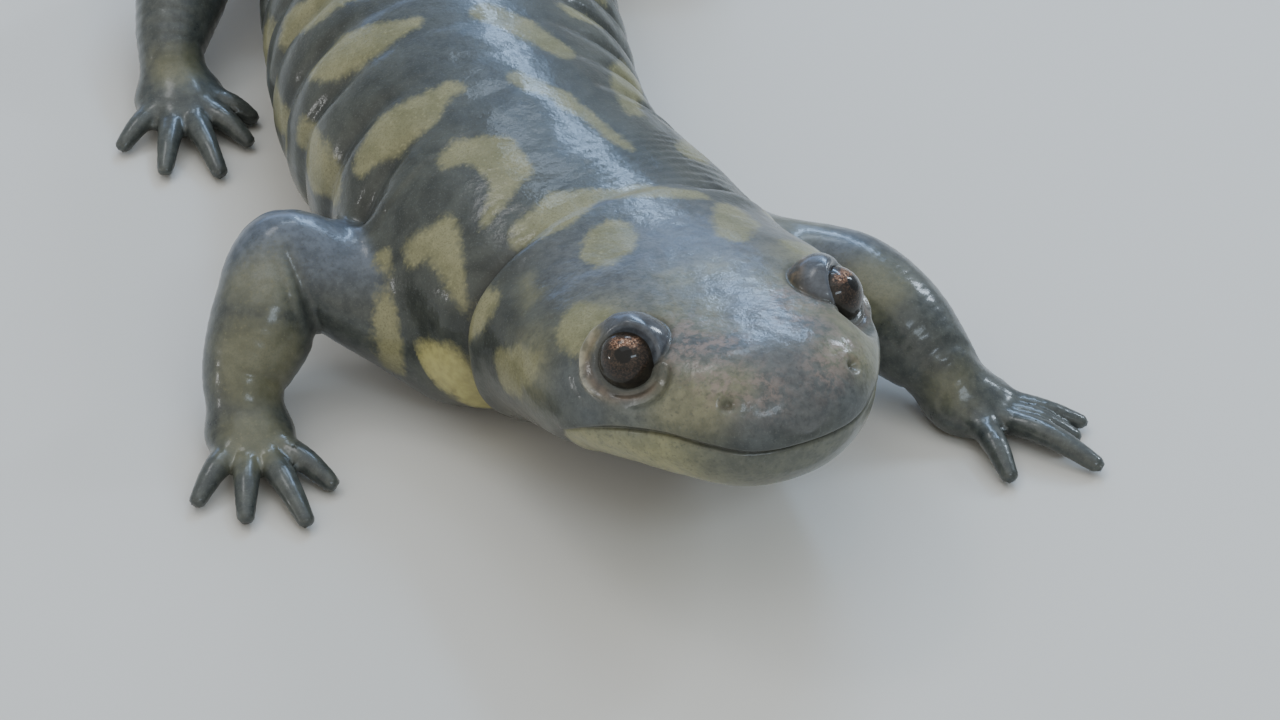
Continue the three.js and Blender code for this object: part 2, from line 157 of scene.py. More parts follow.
# The net is cast in this box, with cells of this size, and it is finer near these features.
NET_LOW = (-38.5, -32.5, -1.2)
NET_HIGH = (36.5, 159.5, 20.6)
CELL = 0.5
FINE = {"head": 25, "mouth": 0.7, "mouth_end": 13.5, "eye": 4.4, "nostril": 1.8}
HALF_CORRIDOR = 17
LID_REACH = 6
LIMB_STEPS = 36
TOE_STEPS = 12
FAR = 99.0


# ==== Curves through named sizes
def through(rows, column=1):
    """A smooth curve through one column of a table, which never swings past the table's values."""
    x = np.array([row[0] for row in rows], float)
    y = np.array([row[column] for row in rows], float)
    slope = np.diff(y) / np.diff(x)
    before = np.r_[slope[0], slope]
    after = np.r_[slope, slope[-1]]
    same_way = before * after > 0
    tangent = np.where(same_way, 2 * before * after / np.where(same_way, before + after, 1), 0)

    def curve(at):
        v = np.clip(at, x[0], x[-1])
        i = np.clip(np.searchsorted(x, v, side="right") - 1, 0, len(x) - 2)
        h = x[i + 1] - x[i]
        t = (v - x[i]) / h
        return (
            y[i] * (1 + 2 * t) * (1 - t) ** 2
            + tangent[i] * h * t * (1 - t) ** 2
            + y[i + 1] * t * t * (3 - 2 * t)
            + tangent[i + 1] * h * t * t * (t - 1)
        )

    return curve


heading = through(HEADING)
axis_height = through(AXIS_HEIGHT)
half_width, above, below, square_top, square_bottom = (through(BODY, i) for i in range(1, 6))


def smooth(low, high, value):
    """A smooth step: 0 at low and 1 at high, where low may also be the larger number."""
    t = np.clip((value - low) / (high - low), 0, 1)
    return t * t * (3 - 2 * t)


def smooth_min(a, b, width):
    """The union of two distances, melted where they differ by less than width."""
    h = np.maximum(width - np.abs(a - b), 0) / width
    return np.minimum(a, b) - h * h * width / 4


def smooth_max(a, b, width):
    return -smooth_min(-a, -b, width)


def length_of(v):
    return np.sqrt((v * v).sum(-1))


def unit(v):
    v = np.asarray(v, float)
    return v / np.maximum(length_of(v)[..., None], 1e-9)


# ==== The spine and the body round it
END_REACH = 12


def spine_frames():
    """The spine, run on straight past both ends: at, middles, directions back, left and up."""
    walk = np.arange(0, TOTAL_LENGTH + STEP / 2, STEP)
    turn = np.radians(heading(walk[1:] - STEP / 2))
    plan = np.zeros((len(walk), 2))
    plan[1:] = np.cumsum(np.c_[-np.sin(turn), np.cos(turn)] * STEP, axis=0)
    plan -= plan[int(SHOULDERS_AT / STEP)]
    at = np.arange(-END_REACH, TOTAL_LENGTH + END_REACH + STEP / 2, STEP)
    inside = np.clip(at, 0, TOTAL_LENGTH)
    past = at - inside
    turn = np.radians(heading(inside))
    rise = (axis_height(at + 1) - axis_height(at - 1)) / 2
    middle = np.c_[
        np.interp(inside, walk, plan[:, 0]) - past * np.sin(turn),
        np.interp(inside, walk, plan[:, 1]) + past * np.cos(turn),
        axis_height(inside),
    ]
    back = np.c_[-np.sin(turn), np.cos(turn), rise]
    left = np.c_[np.cos(turn), np.sin(turn), 0 * turn]
    up = unit(np.c_[rise * np.sin(turn), -rise * np.cos(turn), np.ones_like(turn)])
    return at, middle, back, left, up


SPINE_AT, MIDDLE, BACK, LEFT, UP = spine_frames()
SPINE = np.hstack([MIDDLE, BACK, LEFT, UP, np.gradient(BACK, STEP, axis=0)])


def along_table(table, at):
    """Rows of a table over the spine, read between its steps."""
    v = np.clip((at + END_REACH) / STEP, 0, len(table) - 1.001)
    i = v.astype(int)
    t = v - i
    return table[i] + (table[i + 1] - table[i]) * (t[:, None] if table.ndim > 1 else t)


def body_coordinates(p):
    """at, side and up of points: behind the snout, to the animal's left and above the axis."""
    at = np.interp(p[:, 1], MIDDLE[:, 1], SPINE_AT)
    for _ in range(5):
        row = along_table(SPINE, at)
        off = p - row[:, 0:3]
        ahead = (off * row[:, 3:6]).sum(1)
        slope = (row[:, 3:6] ** 2).sum(1) - (off * row[:, 12:15]).sum(1)
        at = at + np.clip(ahead / np.maximum(slope, 0.4), -3, 3)
    row = along_table(SPINE, at)
    off = p - row[:, 0:3]
    return at, (off * row[:, 6:9]).sum(1), (off * row[:, 9:12]).sum(1)


def on_body(at, side, up):
    """The place in space of a point given by its body coordinates."""
    row = along_table(SPINE, np.array([float(at)]))[0]
    return row[0:3] + side * row[6:9] + up * row[9:12]


def rounded_end(t, power):
    """A rounding from 0 to 1, and its slope over itself."""
    t = np.clip(t, 1e-4, 1)
    rest = 1 - (1 - t) ** power
    return rest ** (1 / power), (1 - t) ** (power - 1) / rest


SIZES = np.c_[
    half_width(SPINE_AT),
    above(SPINE_AT),
    below(SPINE_AT),
    square_top(SPINE_AT),
    square_bottom(SPINE_AT),
]
SIZES = np.hstack([SIZES, np.gradient(SIZES[:, :3], STEP, axis=0) / SIZES[:, :3]])


def body_distance(at, side, up):
    """Distance to the body's surface, negative inside it. It is true near the surface."""
    v = np.clip(at, 0.02, TOTAL_LENGTH - 0.02)
    size = along_table(SIZES, v)
    over = up > 0
    tail, tail_slope = rounded_end((TOTAL_LENGTH - v) / TAIL_ROUND, 2)
    wide_end, wide_slope = rounded_end(v / SNOUT_ROUND["wide"], SNOUT_ROUND["power"])
    tall_end, tall_slope = rounded_end(v / SNOUT_ROUND["tall"], 2)
    wide = size[:, 0] * wide_end * tail
    tall = np.where(over, size[:, 1], size[:, 2]) * tall_end * tail
    power = np.where(over, size[:, 3], size[:, 4])
    a = np.abs(side) / wide
    b = np.abs(up) / tall
    r = np.maximum((a**power + b**power) ** (1 / power), 1e-3)
    a, b = a / r, b / r
    ends = -tail_slope / TAIL_ROUND
    wide_change = size[:, 5] + wide_slope / SNOUT_ROUND["wide"] + ends
    tall_change = np.where(over, size[:, 6], size[:, 7]) + tall_slope / SNOUT_ROUND["tall"] + ends
    steepness = np.sqrt(
        (a ** (power - 1) / wide) ** 2
        + (b ** (power - 1) / tall) ** 2
        + (r * (a**power * wide_change + b**power * tall_change)) ** 2
    )
    return np.maximum((r - 1) / steepness, np.abs(at - v) - 0.02 + np.where(at == v, -FAR, 0))


# ==== Limbs
def forward_at(angle):
    turn = math.radians(angle)
    return np.array([math.sin(turn), -math.cos(turn), 0.0])


def spline(points, count):
    """Points along a centripetal Catmull-Rom curve."""
    points = np.array(points, float)
    last = len(points) - 1
    padded = np.vstack([2 * points[0] - points[1], points, 2 * points[-1] - points[-2]])
    found = []
    for t in np.linspace(0, 1, count):
        i = min(int(t * last), last - 1)
        w = t * last - i
        p0, p1, p2, p3 = padded[i : i + 4]
        d0, d1, d2 = (math.sqrt(length_of(b - a)) for a, b in ((p0, p1), (p1, p2), (p2, p3)))
        start = ((p1 - p0) / d0 - (p2 - p0) / (d0 + d1) + (p2 - p1) / d1) * d1
        end = ((p2 - p1) / d1 - (p3 - p1) / (d1 + d2) + (p3 - p2) / d2) * d1
        found.append(
            p1
            + start * w
            + (3 * (p2 - p1) - 2 * start - end) * w * w
            + (2 * (p1 - p2) + start + end) * w**3
        )
    return np.array(found)


def chain_distance(p, middles, radii):
    """Distance to a chain of tapered rods."""
    best = np.full(len(p), FAR)
    for a, b, ra, rb in zip(middles, middles[1:], radii, radii[1:]):
        line = b - a
        off = p - a
        t = np.clip(off @ line / (line @ line), 0, 1)
        best = np.minimum(best, length_of(off - t[:, None] * line) - (ra + (rb - ra) * t))
    return best


def limb_shape(limb):
    """The rods of a limb and its toes, its palm, and the box that holds them all."""
    root, joint, ankle = (np.array(j, float) for j in limb["joints"])
    palm = limb["palm"]
    centre = ankle + forward_at(limb["heading"]) * palm["long"] * PALM_AHEAD
    centre[2] = SOLE_HEIGHT
    upper_muscle = root + (joint - root) * MUSCLE_AT[0]
    lower_muscle = joint + (ankle - joint) * MUSCLE_AT[1]
    points = [root, upper_muscle, joint, lower_muscle, ankle, centre]
    girth = through([(i / 5, radius) for i, radius in enumerate(limb["girth"])])
    toes = []
    for fan, long in limb["digits"]:
        start = centre + forward_at(limb["heading"] + fan * TOE["fan"]) * palm["wide"] * TOE["start"]
        along = forward_at(limb["heading"] + fan)
        heights = (TOE["root"] * TOE["flatness"], TOE["arch"], TOE["tip"])
        knots = [np.r_[(start + along * long * i / 2)[:2], z] for i, z in enumerate(heights)]
        t = np.linspace(0, 1, TOE_STEPS)
        round_tip = rounded_end((1 - t) / TOE["end"] + 0.1, 2)[0]
        radii = (TOE["root"] + (TOE["tip"] - TOE["root"]) * t) * round_tip
        toes.append((spline(knots, TOE_STEPS), radii))
    middles = spline(points, LIMB_STEPS)
    every = np.vstack([middles] + [toe[0] for toe in toes])
    return {
        "middles": middles,
        "radii": girth(np.linspace(0, 1, LIMB_STEPS)),
        "centre": centre,
        "palm": palm,
        "heading": limb["heading"],
        "toes": toes,
        "low": every.min(0) - 9,
        "high": every.max(0) + 9,
    }


SHAPES = {name: limb_shape(limb) for name, limb in LIMBS.items()}


def palm_distance(p, shape):
    """Distance to the palm, an ellipsoid."""
    palm = shape["palm"]
    ahead = forward_at(shape["heading"])
    aside = np.array([-ahead[1], ahead[0], 0])
    off = p - shape["centre"]
    size = np.array([palm["wide"], palm["long"], palm["thick"]])
    local = np.c_[off @ aside, off @ ahead, off[:, 2]] / size
    k = np.maximum(length_of(local), 1e-3)
    return (k - 1) * k / np.maximum(length_of(local / size), 1e-3)


def limb_distance(p, shape):
    """Distance to a limb with its palm and toes."""
    arm = chain_distance(p, shape["middles"], shape["radii"])
    found = smooth_min(arm, palm_distance(p, shape), MELT["palm"])
    low = shape["centre"][2] + 5
    near = p[:, 2] < low
    flat = np.array([1, 1, 1 / TOE["flatness"]])
    digits = np.full(near.sum(), FAR)
    for middles, radii in shape["toes"]:
        digits = np.minimum(digits, chain_distance(p[near] * flat, middles * flat, radii))
    found[near] = smooth_min(found[near], digits, MELT["toe"])
    return found


# ==== Eyes and lids
def looking(place, looks, hand):
    """The place of a feature of the head, and the direction it looks in."""
    origin = on_body(place["at"], hand * place["side"], place["up"])
    ahead = on_body(
        place["at"] - looks["forward"], hand * (place["side"] + looks["side"]), place["up"] + looks["up"]
    )
    return origin, unit(ahead - origin)


def eye_frame(hand):
    """The middle of an eye, where it looks, and the direction across it to its thick upper lid."""
    origin, look = looking(EYE, EYE_LOOKS, hand)
    over = on_body(EYE["at"], hand * (EYE["side"] - UPPER_LID["inward"]), EYE["up"] + 1) - origin
    over = unit(over - (over @ look) * look)
    return origin, look, over


EYES = {"left": eye_frame(1), "right": eye_frame(-1)}
NOSTRILS = {"left": looking(NOSTRIL, NOSTRIL_LOOKS, 1), "right": looking(NOSTRIL, NOSTRIL_LOOKS, -1)}


def lid_mound(p, eye):
    """Distance from the mound of the lids round an eye, and from the cone that opens it in front."""
    origin, look, over = eye
    off = p - origin
    far = np.maximum(length_of(off), 0.1)
    ahead = off @ look
    aside = length_of(off - ahead[:, None] * look)
    polar = np.degrees(np.arctan2(aside, ahead))
    upper = smooth(-0.1, 0.8, (off @ over) / far)
    opening = LIDS["opening"] - UPPER_LID["closes"] * upper
    rim = smooth(opening + LIDS["slope"], opening - 2, polar)
    radius = LIDS["radius"] + UPPER_LID["swell"] * upper
    thin = LIDS["thin"] - (LIDS["thin"] - UPPER_LID["thin"]) * upper
    mound = length_of(off + LIDS["back"] * look) - radius + thin * rim
    turn = np.radians(opening)
    return mound, aside * np.cos(turn) - ahead * np.sin(turn), upper, polar


def with_lids(f, p, eye):
    """The head with a mound round the eye, open in front of it."""
    mound, cone, upper, _ = lid_mound(p, eye)
    f = smooth_min(f, mound, MELT["lid"] * (1 - 0.5 * upper))
    past_lids = smooth(LID_CUT["from"], LID_CUT["to"], length_of(p - eye[0]))
    edge = MELT["rim"] + LID_CUT["soften"] * past_lids
    return smooth_max(f, -cone - LID_CUT["lift"] * past_lids, edge)


# ==== The whole skin
def near_limb(p, shape):
    """Which points lie in the box round a limb."""
    return ((p > shape["low"]) & (p < shape["high"])).all(1)


def limbs_distance(p):
    found = np.full(len(p), FAR)
    for shape in SHAPES.values():
        near = near_limb(p, shape)
        if near.any():
            found[near] = np.minimum(found[near], limb_distance(p[near], shape))
    return found


def skin_distance(p):
    """Distance to the whole animal before its fine relief, cut flat at the floor."""
    at, side, up = body_coordinates(p)
    f = body_distance(at, side, up)
    f = smooth_min(f, limbs_distance(p), MELT["shoulder"])
    for eye in EYES.values():
        near = length_of(p - eye[0]) < LID_REACH
        if near.any():
            f[near] = with_lids(f[near], p[near], eye)
    return smooth_max(f, -p[:, 2], MELT["floor"])


def skin_slope(p, reach=0.03):
    """The distance at points and its slope, which points out of the skin."""
    f = skin_distance(p)
    steps = [skin_distance(p + reach * np.eye(3)[axis]) for axis in range(3)]
    return f, np.stack([(step - f) / reach for step in steps], axis=1)


def settle(p, rounds):
    """Moves points onto the skin."""
    for _ in range(rounds):
        f, slope = skin_slope(p)
        steep = np.maximum((slope**2).sum(1), 0.3)
        move = -(f / steep)[:, None] * slope
        long = length_of(move)[:, None]
        p = p + move * np.minimum(1, 0.4 / np.maximum(long, 1e-6))
    return p


# ==== Mesh
def surface_net(low, high, cell):
    """A net of quads over the skin, one point for each grid cell that it runs through."""
    axes = [np.arange(a, b + cell, cell) for a, b in zip(low, high)]
    shape = tuple(len(a) for a in axes)
    values = np.full(shape, FAR)
    for j, y in enumerate(axes[1]):
        at = np.interp(y, MIDDLE[:, 1], SPINE_AT)
        middle = along_table(SPINE, np.array([at]))[0][0]
        keep = np.abs(axes[0] - middle) < HALF_CORRIDOR
        for limb in SHAPES.values():
            if limb["low"][1] < y < limb["high"][1]:
                keep |= (axes[0] > limb["low"][0]) & (axes[0] < limb["high"][0])
        x, z = np.meshgrid(axes[0][keep], axes[2], indexing="ij")
        p = np.stack([x.ravel(), np.full(x.size, y), z.ravel()], axis=1)
        values[keep, j, :] = skin_distance(p).reshape(x.shape)
    inside = values < 0
    cells = np.array(shape)
    totals = np.zeros((values.size, 4))
    loops = []
    for axis in range(3):
        first = [slice(None)] * 3
        second = [slice(None)] * 3
        first[axis] = slice(0, -1)
        second[axis] = slice(1, None)
        crossed = inside[tuple(first)] != inside[tuple(second)]
        index = np.argwhere(crossed)
        a = values[tuple(first)][crossed]
        b = values[tuple(second)][crossed]
        points = np.array(low) + index * cell
        points[:, axis] += cell * a / (a - b)
        one, two = (axis + 1) % 3, (axis + 2) % 3
        corners = []
        for back_one, back_two in ((1, 1), (0, 1), (0, 0), (1, 0)):
            corner = index.copy()
            corner[:, one] -= back_one
            corner[:, two] -= back_two
            corners.append((corner[:, 0] * cells[1] + corner[:, 1]) * cells[2] + corner[:, 2])
        loop = np.stack(corners, axis=1)
        for corner in corners:
            for column in range(3):
                totals[:, column] += np.bincount(corner, points[:, column], values.size)
            totals[:, 3] += np.bincount(corner, minlength=values.size)
        loops.append(np.where((a < 0)[:, None], loop, loop[:, ::-1]))
    loops = np.vstack(loops)
    used, quads = np.unique(loops, return_inverse=True)
    return totals[used, :3] / totals[used, 3:], quads.reshape(-1, 4)


def relax(points, quads, rounds):
    """Evens the net out."""
    a = quads.ravel()
    b = np.roll(quads, -1, axis=1).ravel()
    count = np.bincount(a, minlength=len(points)) + np.bincount(b, minlength=len(points))
    for _ in range(rounds):
        mean = np.zeros_like(points)
        for column in range(3):
            mean[:, column] = np.bincount(a, points[b, column], len(points))
            mean[:, column] += np.bincount(b, points[a, column], len(points))
        points = points + 0.5 * (mean / count[:, None] - points)
    return points


BIG = 1 << 31


def edge_keys(quads):
    a = quads
    b = np.roll(quads, -1, axis=1)
    return np.minimum(a, b).astype(np.int64) * BIG + np.maximum(a, b)


def split(points, quads, chosen, halves):
    """Splits the chosen quads in four, and notes the middle of each edge it splits."""
    picked = quads[chosen]
    keys, place = np.unique(edge_keys(picked), return_inverse=True)
    place = place.reshape(-1, 4)
    low, high = keys // BIG, keys % BIG
    middle = np.array([halves.get(key, -1) for key in keys.tolist()])
    new = middle < 0
    middle[new] = len(points) + np.arange(new.sum())
    centre = len(points) + new.sum() + np.arange(len(picked))
    points = np.vstack([points, (points[low] + points[high])[new] / 2, points[picked].mean(1)])
    halves.update(zip(keys[new].tolist(), middle[new].tolist()))
    side = middle[place]
    parts = [
        np.stack([picked[:, k], side[:, k], centre, side[:, k - 1]], axis=1) for k in range(4)
    ]
    return points, np.vstack([quads[~chosen]] + parts)


def polygons(quads, halves):
    """The quads, with the points that finer neighbours put on their edges."""
    split_keys = np.array(sorted(halves), np.int64)
    keys = edge_keys(quads)
    place = np.clip(np.searchsorted(split_keys, keys), 0, len(split_keys) - 1)
    meets = (split_keys[place] == keys).any(1)

    def walk(a, b):
        middle = halves.get(min(a, b) * BIG + max(a, b))
        return [a] if middle is None else walk(a, middle) + walk(middle, b)

    faces = quads[~meets].tolist()
    for quad in quads[meets].tolist():
        faces.append([v for k in range(4) for v in walk(quad[k], quad[(k + 1) % 4])])
    return faces


def mouth_offset(at, up):
    """Distance above the line of the mouth, in the plane seen from the side."""
    best = np.full(len(at), FAR)
    above_it = np.ones(len(at))
    for (a0, u0), (a1, u1) in zip(MOUTH_FINE, MOUTH_FINE[1:]):
        da, du = a1 - a0, u1 - u0
        t = np.clip(((at - a0) * da + (up - u0) * du) / (da * da + du * du), 0, 1)
        x, y = at - a0 - t * da, up - u0 - t * du
        far = np.hypot(x, y)
        closer = far < best
        best = np.where(closer, far, best)
        above_it = np.where(closer, np.sign(da * y - du * x), above_it)
    return best * above_it


mouth_curve = through(MOUTH_LINE[:7])
MOUTH_FINE = [(a, float(mouth_curve(a))) for a in np.arange(-3, 12.7, 0.6)] + MOUTH_LINE[7:]


def build_mesh():
    """The skin's points and quads, and the middles of the edges that were split."""
    points, quads = surface_net(NET_LOW, NET_HIGH, CELL)
    points = settle(points, 2)
    points = settle(relax(points, quads, 3), 2)
    halves = {}
    points, quads = split(points, quads, np.ones(len(quads), bool), halves)
    points = settle(points, 1)
    at, _, _ = body_coordinates(points)
    points, quads = split(points, quads, (at[quads] < FINE["head"]).all(1), halves)
    points = settle(points, 1)
    at, side, up = body_coordinates(points)
    fine = (np.abs(mouth_offset(at, up)) < FINE["mouth"]) & (at < FINE["mouth_end"])
    for kind, features in (("eye", EYES), ("nostril", NOSTRILS)):
        for feature in features.values():
            fine |= length_of(points - feature[0]) < FINE[kind]
    finest = length_of(points[quads[:, 0]] - points[quads[:, 1]]) < CELL / 2.6
    points, quads = split(points, quads, fine[quads].all(1) & finest, halves)
    points = settle(points, 3)
    return points, quads, halves


# ==== Folds, pits and unevenness
def lattice_noise(p, size, seed):
    """Smooth random values from -1 to 1 in blotches about as wide as size."""
    table = np.random.default_rng(seed).uniform(-1, 1, (32, 32, 32))
    q = p / size + 1000
    cell = np.floor(q).astype(int)
    t = q - cell
    t = t * t * (3 - 2 * t)
    total = np.zeros(len(p))
    for corner in np.ndindex(2, 2, 2):
        weight = np.prod(np.where(np.array(corner), t, 1 - t), axis=1)
        i, j, k = ((cell + corner) & 31).T
        total += weight * table[i, j, k]
    return total


def ridge(value, width):
    """1 where a value is 0, fading to nearly 0 at twice the width."""
    return np.exp(-((value / width) ** 2))


LID_MASKS = ("upper_lid", "lid_back", "lower_lid", "wet_line_and_glint")


def sculpt(points):
    """Moves the skin's points in and out along its normals, and returns what the colours need, among
    them the painted shade of its folds, grooves and pits.
    """
    _, slope = skin_slope(points)
    normal = unit(slope)
    at, side, up = body_coordinates(points)
    wide = half_width(at)
    tall = above(at)
    around = np.arctan2(side, up) * (wide + tall) / 2
    bare = body_distance(at, side, up)
    limb = smooth(-0.8, 0.8, bare - limbs_distance(points))
    trunk = 1 - limb
    flank = smooth(0.45, 0.85, np.abs(side) / wide)
    beside = np.abs(around)
    move = np.zeros(len(points))
    # Painted shade: a value that darkens the colour in the folds, grooves, pits and wrinkles carved
    # below, where shade would fall.
    painted_shade = np.zeros(len(points))
    lids = {name: np.zeros(len(points)) for name in LID_MASKS}

    # mouth: a fine groove, a lower jaw set in under the lip, a slight swell of the upper lip
    line = mouth_offset(at, up)
    front = smooth(13.6, 11.8, at)
    front_lip = smooth(11.5, 6.5, at)
    groove = ridge(line, 0.15 + 0.05 * front_lip) * front * (0.55 + 0.45 * front_lip)
    inset = smooth(0.12, -0.12, line) * smooth(-7, -1.5, line) * front
    swell = ridge(line - 1.0, 0.75) * front
    corner = ridge(line, 0.5) * smooth(12.2, 13.2, at) * smooth(15.6, 14.4, at) * flank
    move += RELIEF["lip"] * swell - RELIEF["mouth"] * groove
    move -= RELIEF["jaw_inset"] * inset + RELIEF["mouth_corner"] * corner
    painted_shade += (0.45 + 0.55 * front_lip) * groove + 0.4 * corner

    # nostrils
    for origin, look in NOSTRILS.values():
        off = points - origin
        ahead = off @ look
        aside = length_of(off - ahead[:, None] * look)
        near = np.where(np.abs(ahead) < 2.5, 1.0, 0.0)
        rim = RELIEF["nostril_rim"] * ridge(aside - 0.75, 0.24)
        move += near * (rim - RELIEF["nostril"] * ridge(aside, 0.4))
        painted_shade += 0.6 * near * ridge(aside, 0.34)

    # lids: a fold where the upper lid meets the crown, and a rolled lower lid between two creases
    eye_forward = unit(on_body(EYE["at"] - 1, 0, 0) - on_body(EYE["at"], 0, 0))
    for eye in EYES.values():
        origin, _, over = eye
        off = points - origin
        far = np.maximum(length_of(off), 0.1)
        toward = (off @ over) / far
        upper = smooth(0.05, 0.6, toward)
        lower = smooth(0.3, -0.2, toward)
        near = smooth(5.2, 4.4, far)
        mound, _, _, polar = lid_mound(points, eye)
        off_mound = bare - mound
        foot = ridge(off_mound + 0.05, 0.16) * upper * near
        behind = smooth(0.55, -0.25, (off @ eye_forward) / far)
        uneven = (1 + 0.5 * lattice_noise(points, 1.3, 12)) * behind
        wander = 0.2 * lattice_noise(points, 1.8, 13)
        off_crest = far - LOWER_LID["crest"] - wander
        dish = ridge(far - LOWER_LID["dish"] - 0.4 * wander, 0.18) * lower * near
        crest = ridge(off_crest, 0.17) * lower * near * uneven
        under = ridge(far - LOWER_LID["under"] - 1.5 * wander, 0.24) * lower * near * uneven
        move += RELIEF["lid_crest"] * crest - RELIEF["lid_foot"] * foot
        move -= RELIEF["lid_dish"] * dish + RELIEF["lid_under"] * under
        # Painted shade in the lids' creases and beside the eyeball under it.
        painted_shade += 0.7 * foot + 0.3 * dish + 0.1 * under + 0.5 * smooth(2.35, 2.1, far) * lower
        over_eye = smooth(-0.1, 0.15, off_mound) * near * smooth(-0.05, 0.35, toward)
        found = {
            "upper_lid": over_eye * smooth(100, 78, polar),
            "lid_back": over_eye * smooth(74, 96, polar),
            "lower_lid": ridge(far - LOWER_LID["middle"], 0.35) * lower,
            # The crest of the lower lid: smoother, and given a painted highlight.
            "wet_line_and_glint": ridge(off_crest, 0.22) * lower * behind,
        }
        lids = {name: np.maximum(lids[name], found[name]) for name in LID_MASKS}
        move += RELIEF["lid_uneven"] * lattice_noise(points, 0.9, 14) * over_eye

    # folds of the throat, the back of the head and the neck
    fold = ridge(at - THROAT_FOLD_AT, 0.5) * np.maximum(smooth(3, -3, up), smooth(5, 10, beside)) * trunk
    cheek = ridge(at - CHEEK_AT, 1.0) * smooth(5, 10, beside) * trunk
    # A wide band of painted shade behind the fold of the throat.
    shade = ridge(at - THROAT_FOLD_AT - 0.8, 1.2) * smooth(6, 10, beside) * trunk
    move += RELIEF["cheek"] * cheek - RELIEF["throat_fold"] * fold
    painted_shade += 0.95 * fold + 0.3 * shade
    wobble = lattice_noise(points, 3.0, 11)
    neck = smooth(24.5, 26, at) * smooth(33, 30.5, at) * trunk
    wrinkle = np.cos(2 * np.pi * (at + 0.45 * wobble) / WRINKLE_SPACING)
    neck *= 0.2 + 0.8 * smooth(-1, 4, around)
    move += RELIEF["neck_wrinkle"] * wrinkle * neck
    painted_shade += 0.2 * neck * smooth(0.2, -1, wrinkle)
    behind_arm = ridge(at - BEHIND_ARM_AT - 0.2 * (beside - 12), 0.5) * smooth(9, 14, beside) * trunk
    move -= RELIEF["behind_arm"] * behind_arm
    painted_shade += 0.3 * behind_arm

    # grooves between the ribs
    turns = (at + 0.25 * wobble - COSTAL["first"]) / COSTAL["spacing"]
    off_groove = (turns - np.round(turns)) * COSTAL["spacing"]
    within = (turns > -0.5) & (turns < COSTAL["count"] - 0.5)
    share = 0.1 + 0.9 * flank
    costal = np.where(within, ridge(off_groove, 0.6), 0) * trunk
    move -= np.where(within, RELIEF["rib_swell"] * np.cos(2 * np.pi * turns), 0) * trunk * share
    move -= COSTAL["depth"] * costal * share
    painted_shade += 0.35 * costal * share

    # rings of the tail, and folds at the bends of the limbs
    tail = smooth(101, 108, at) * trunk
    rings = smooth(0.3, 1, np.cos(2 * np.pi * (at + 0.4 * wobble) / RING_SPACING)) * tail
    move -= RELIEF["tail_ring"] * rings
    painted_shade += 0.12 * rings
    for shape in SHAPES.values():
        near = near_limb(points, shape)
        p = points[near]
        middles = shape["middles"]
        count = len(middles) - 1
        for t, strength, width, gap in LIMB_FOLDS:
            i = int(round(t * count))
            along = unit(middles[i + 1] - middles[i - 1])
            bend = unit(middles[max(i - 5, 0)] + middles[min(i + 5, count)] - 2 * middles[i])
            off = p - middles[i]
            reach = shape["radii"][i] * 2.2
            inner = smooth(-0.5, 1.5, off @ bend) * smooth(reach, reach * 0.7, length_of(off))
            crease = ridge(off @ along - gap, width) * inner * limb[near]
            move[near] -= strength * crease
            painted_shade[near] += 2 * strength * crease

    # soft unevenness all over
    calm = 1 - 0.6 * smooth(30, 20, at)
    move += calm * sum(depth * lattice_noise(points, size, seed) for depth, size, seed in UNEVENNESS)
    depth, size, seed = FINE_UNEVENNESS
    move += depth * lattice_noise(points, size, seed)
    moved = points + normal * move[:, None]
    moved[:, 2] = np.maximum(moved[:, 2], 0)
    here = {"at": at, "around": around, "up": up, "side": side, "limb": limb, "painted_shade": painted_shade}
    return moved, {**here, **lids}


# ==== Markings
# A stroke is a list of (at, around, half width): around is measured over the skin
# from the middle of the back, to the animal's left.
STROKES = [
    # right side of the trunk, from the shoulder back
    [(41.4, -14.7, 1.1), (43.8, -15.0, 1.6), (46.8, -15.0, 1.2)],
    [(50.5, -17.4, 1.1), (54.0, -17.3, 1.5)],
    [(40.1, -4.1, 0.7), (39.6, -6.3, 1.4), (40.0, -9.3, 1.9), (39.9, -11.4, 1.0)],
    [(48.2, -4.3, 0.8), (48.2, -7.0, 1.5), (49.0, -9.8, 2.0), (49.4, -11.6, 1.0)],
    [(54.6, -7.8, 1.2), (55.4, -11.0, 1.9), (56.4, -13.4, 1.3)],
    # an arch over the right shoulder, and an angle in front of it
    [
        (35.0, -8.0, 0.6), (34.8, -6.4, 1.1), (33.2, -4.9, 1.6),
        (31.5, -4.9, 1.5), (30.2, -6.2, 0.9), (29.2, -8.4, 0.5),
    ],
    [(32.4, -13.2, 0.7), (31.2, -11.4, 1.1), (29.6, -11.4, 1.1), (27.8, -12.0, 0.7), (26.2, -12.4, 0.4)],
    # left of the midline
    [(47.4, 1.6, 1.2), (45.6, 3.7, 1.5), (42.4, 5.9, 1.1)],
    [(49.6, 8.6, 0.9), (50.6, 10.7, 1.0)],
    [(38.7, 1.1, 0.8), (36.0, 3.0, 1.1), (33.0, 4.3, 0.8), (30.0, 5.3, 0.5)],
    [(34.4, 8.5, 0.6), (38.5, 9.9, 1.4), (43.0, 12.0, 1.5), (46.6, 13.8, 0.9)],
    # behind the jaw
    [(24.0, -12.6, 1.3), (22.8, -12.1, 1.0)],
    # back of the head
    [
        (25.6, -6.4, 1.8), (26.1, -3.6, 1.8), (26.0, -1.2, 1.0),
        (25.2, 0.6, 0.7), (24.8, 3.0, 1.2), (23.0, 6.2, 0.7),
    ],
    [(21.0, 7.5, 0.9), (18.5, 6.9, 1.4), (16.5, 5.7, 1.1)],
    [(19.0, -4.8, 1.7), (20.0, -3.3, 2.2), (21.0, -2.3, 1.5)],
    # cheek
    [(14.3, -9.1, 1.3), (12.9, -8.8, 1.5), (11.2, -8.9, 0.9)],
    [(18.8, -14.0, 1.2), (17.2, -13.2, 1.3), (15.2, -12.5, 0.8)],
]
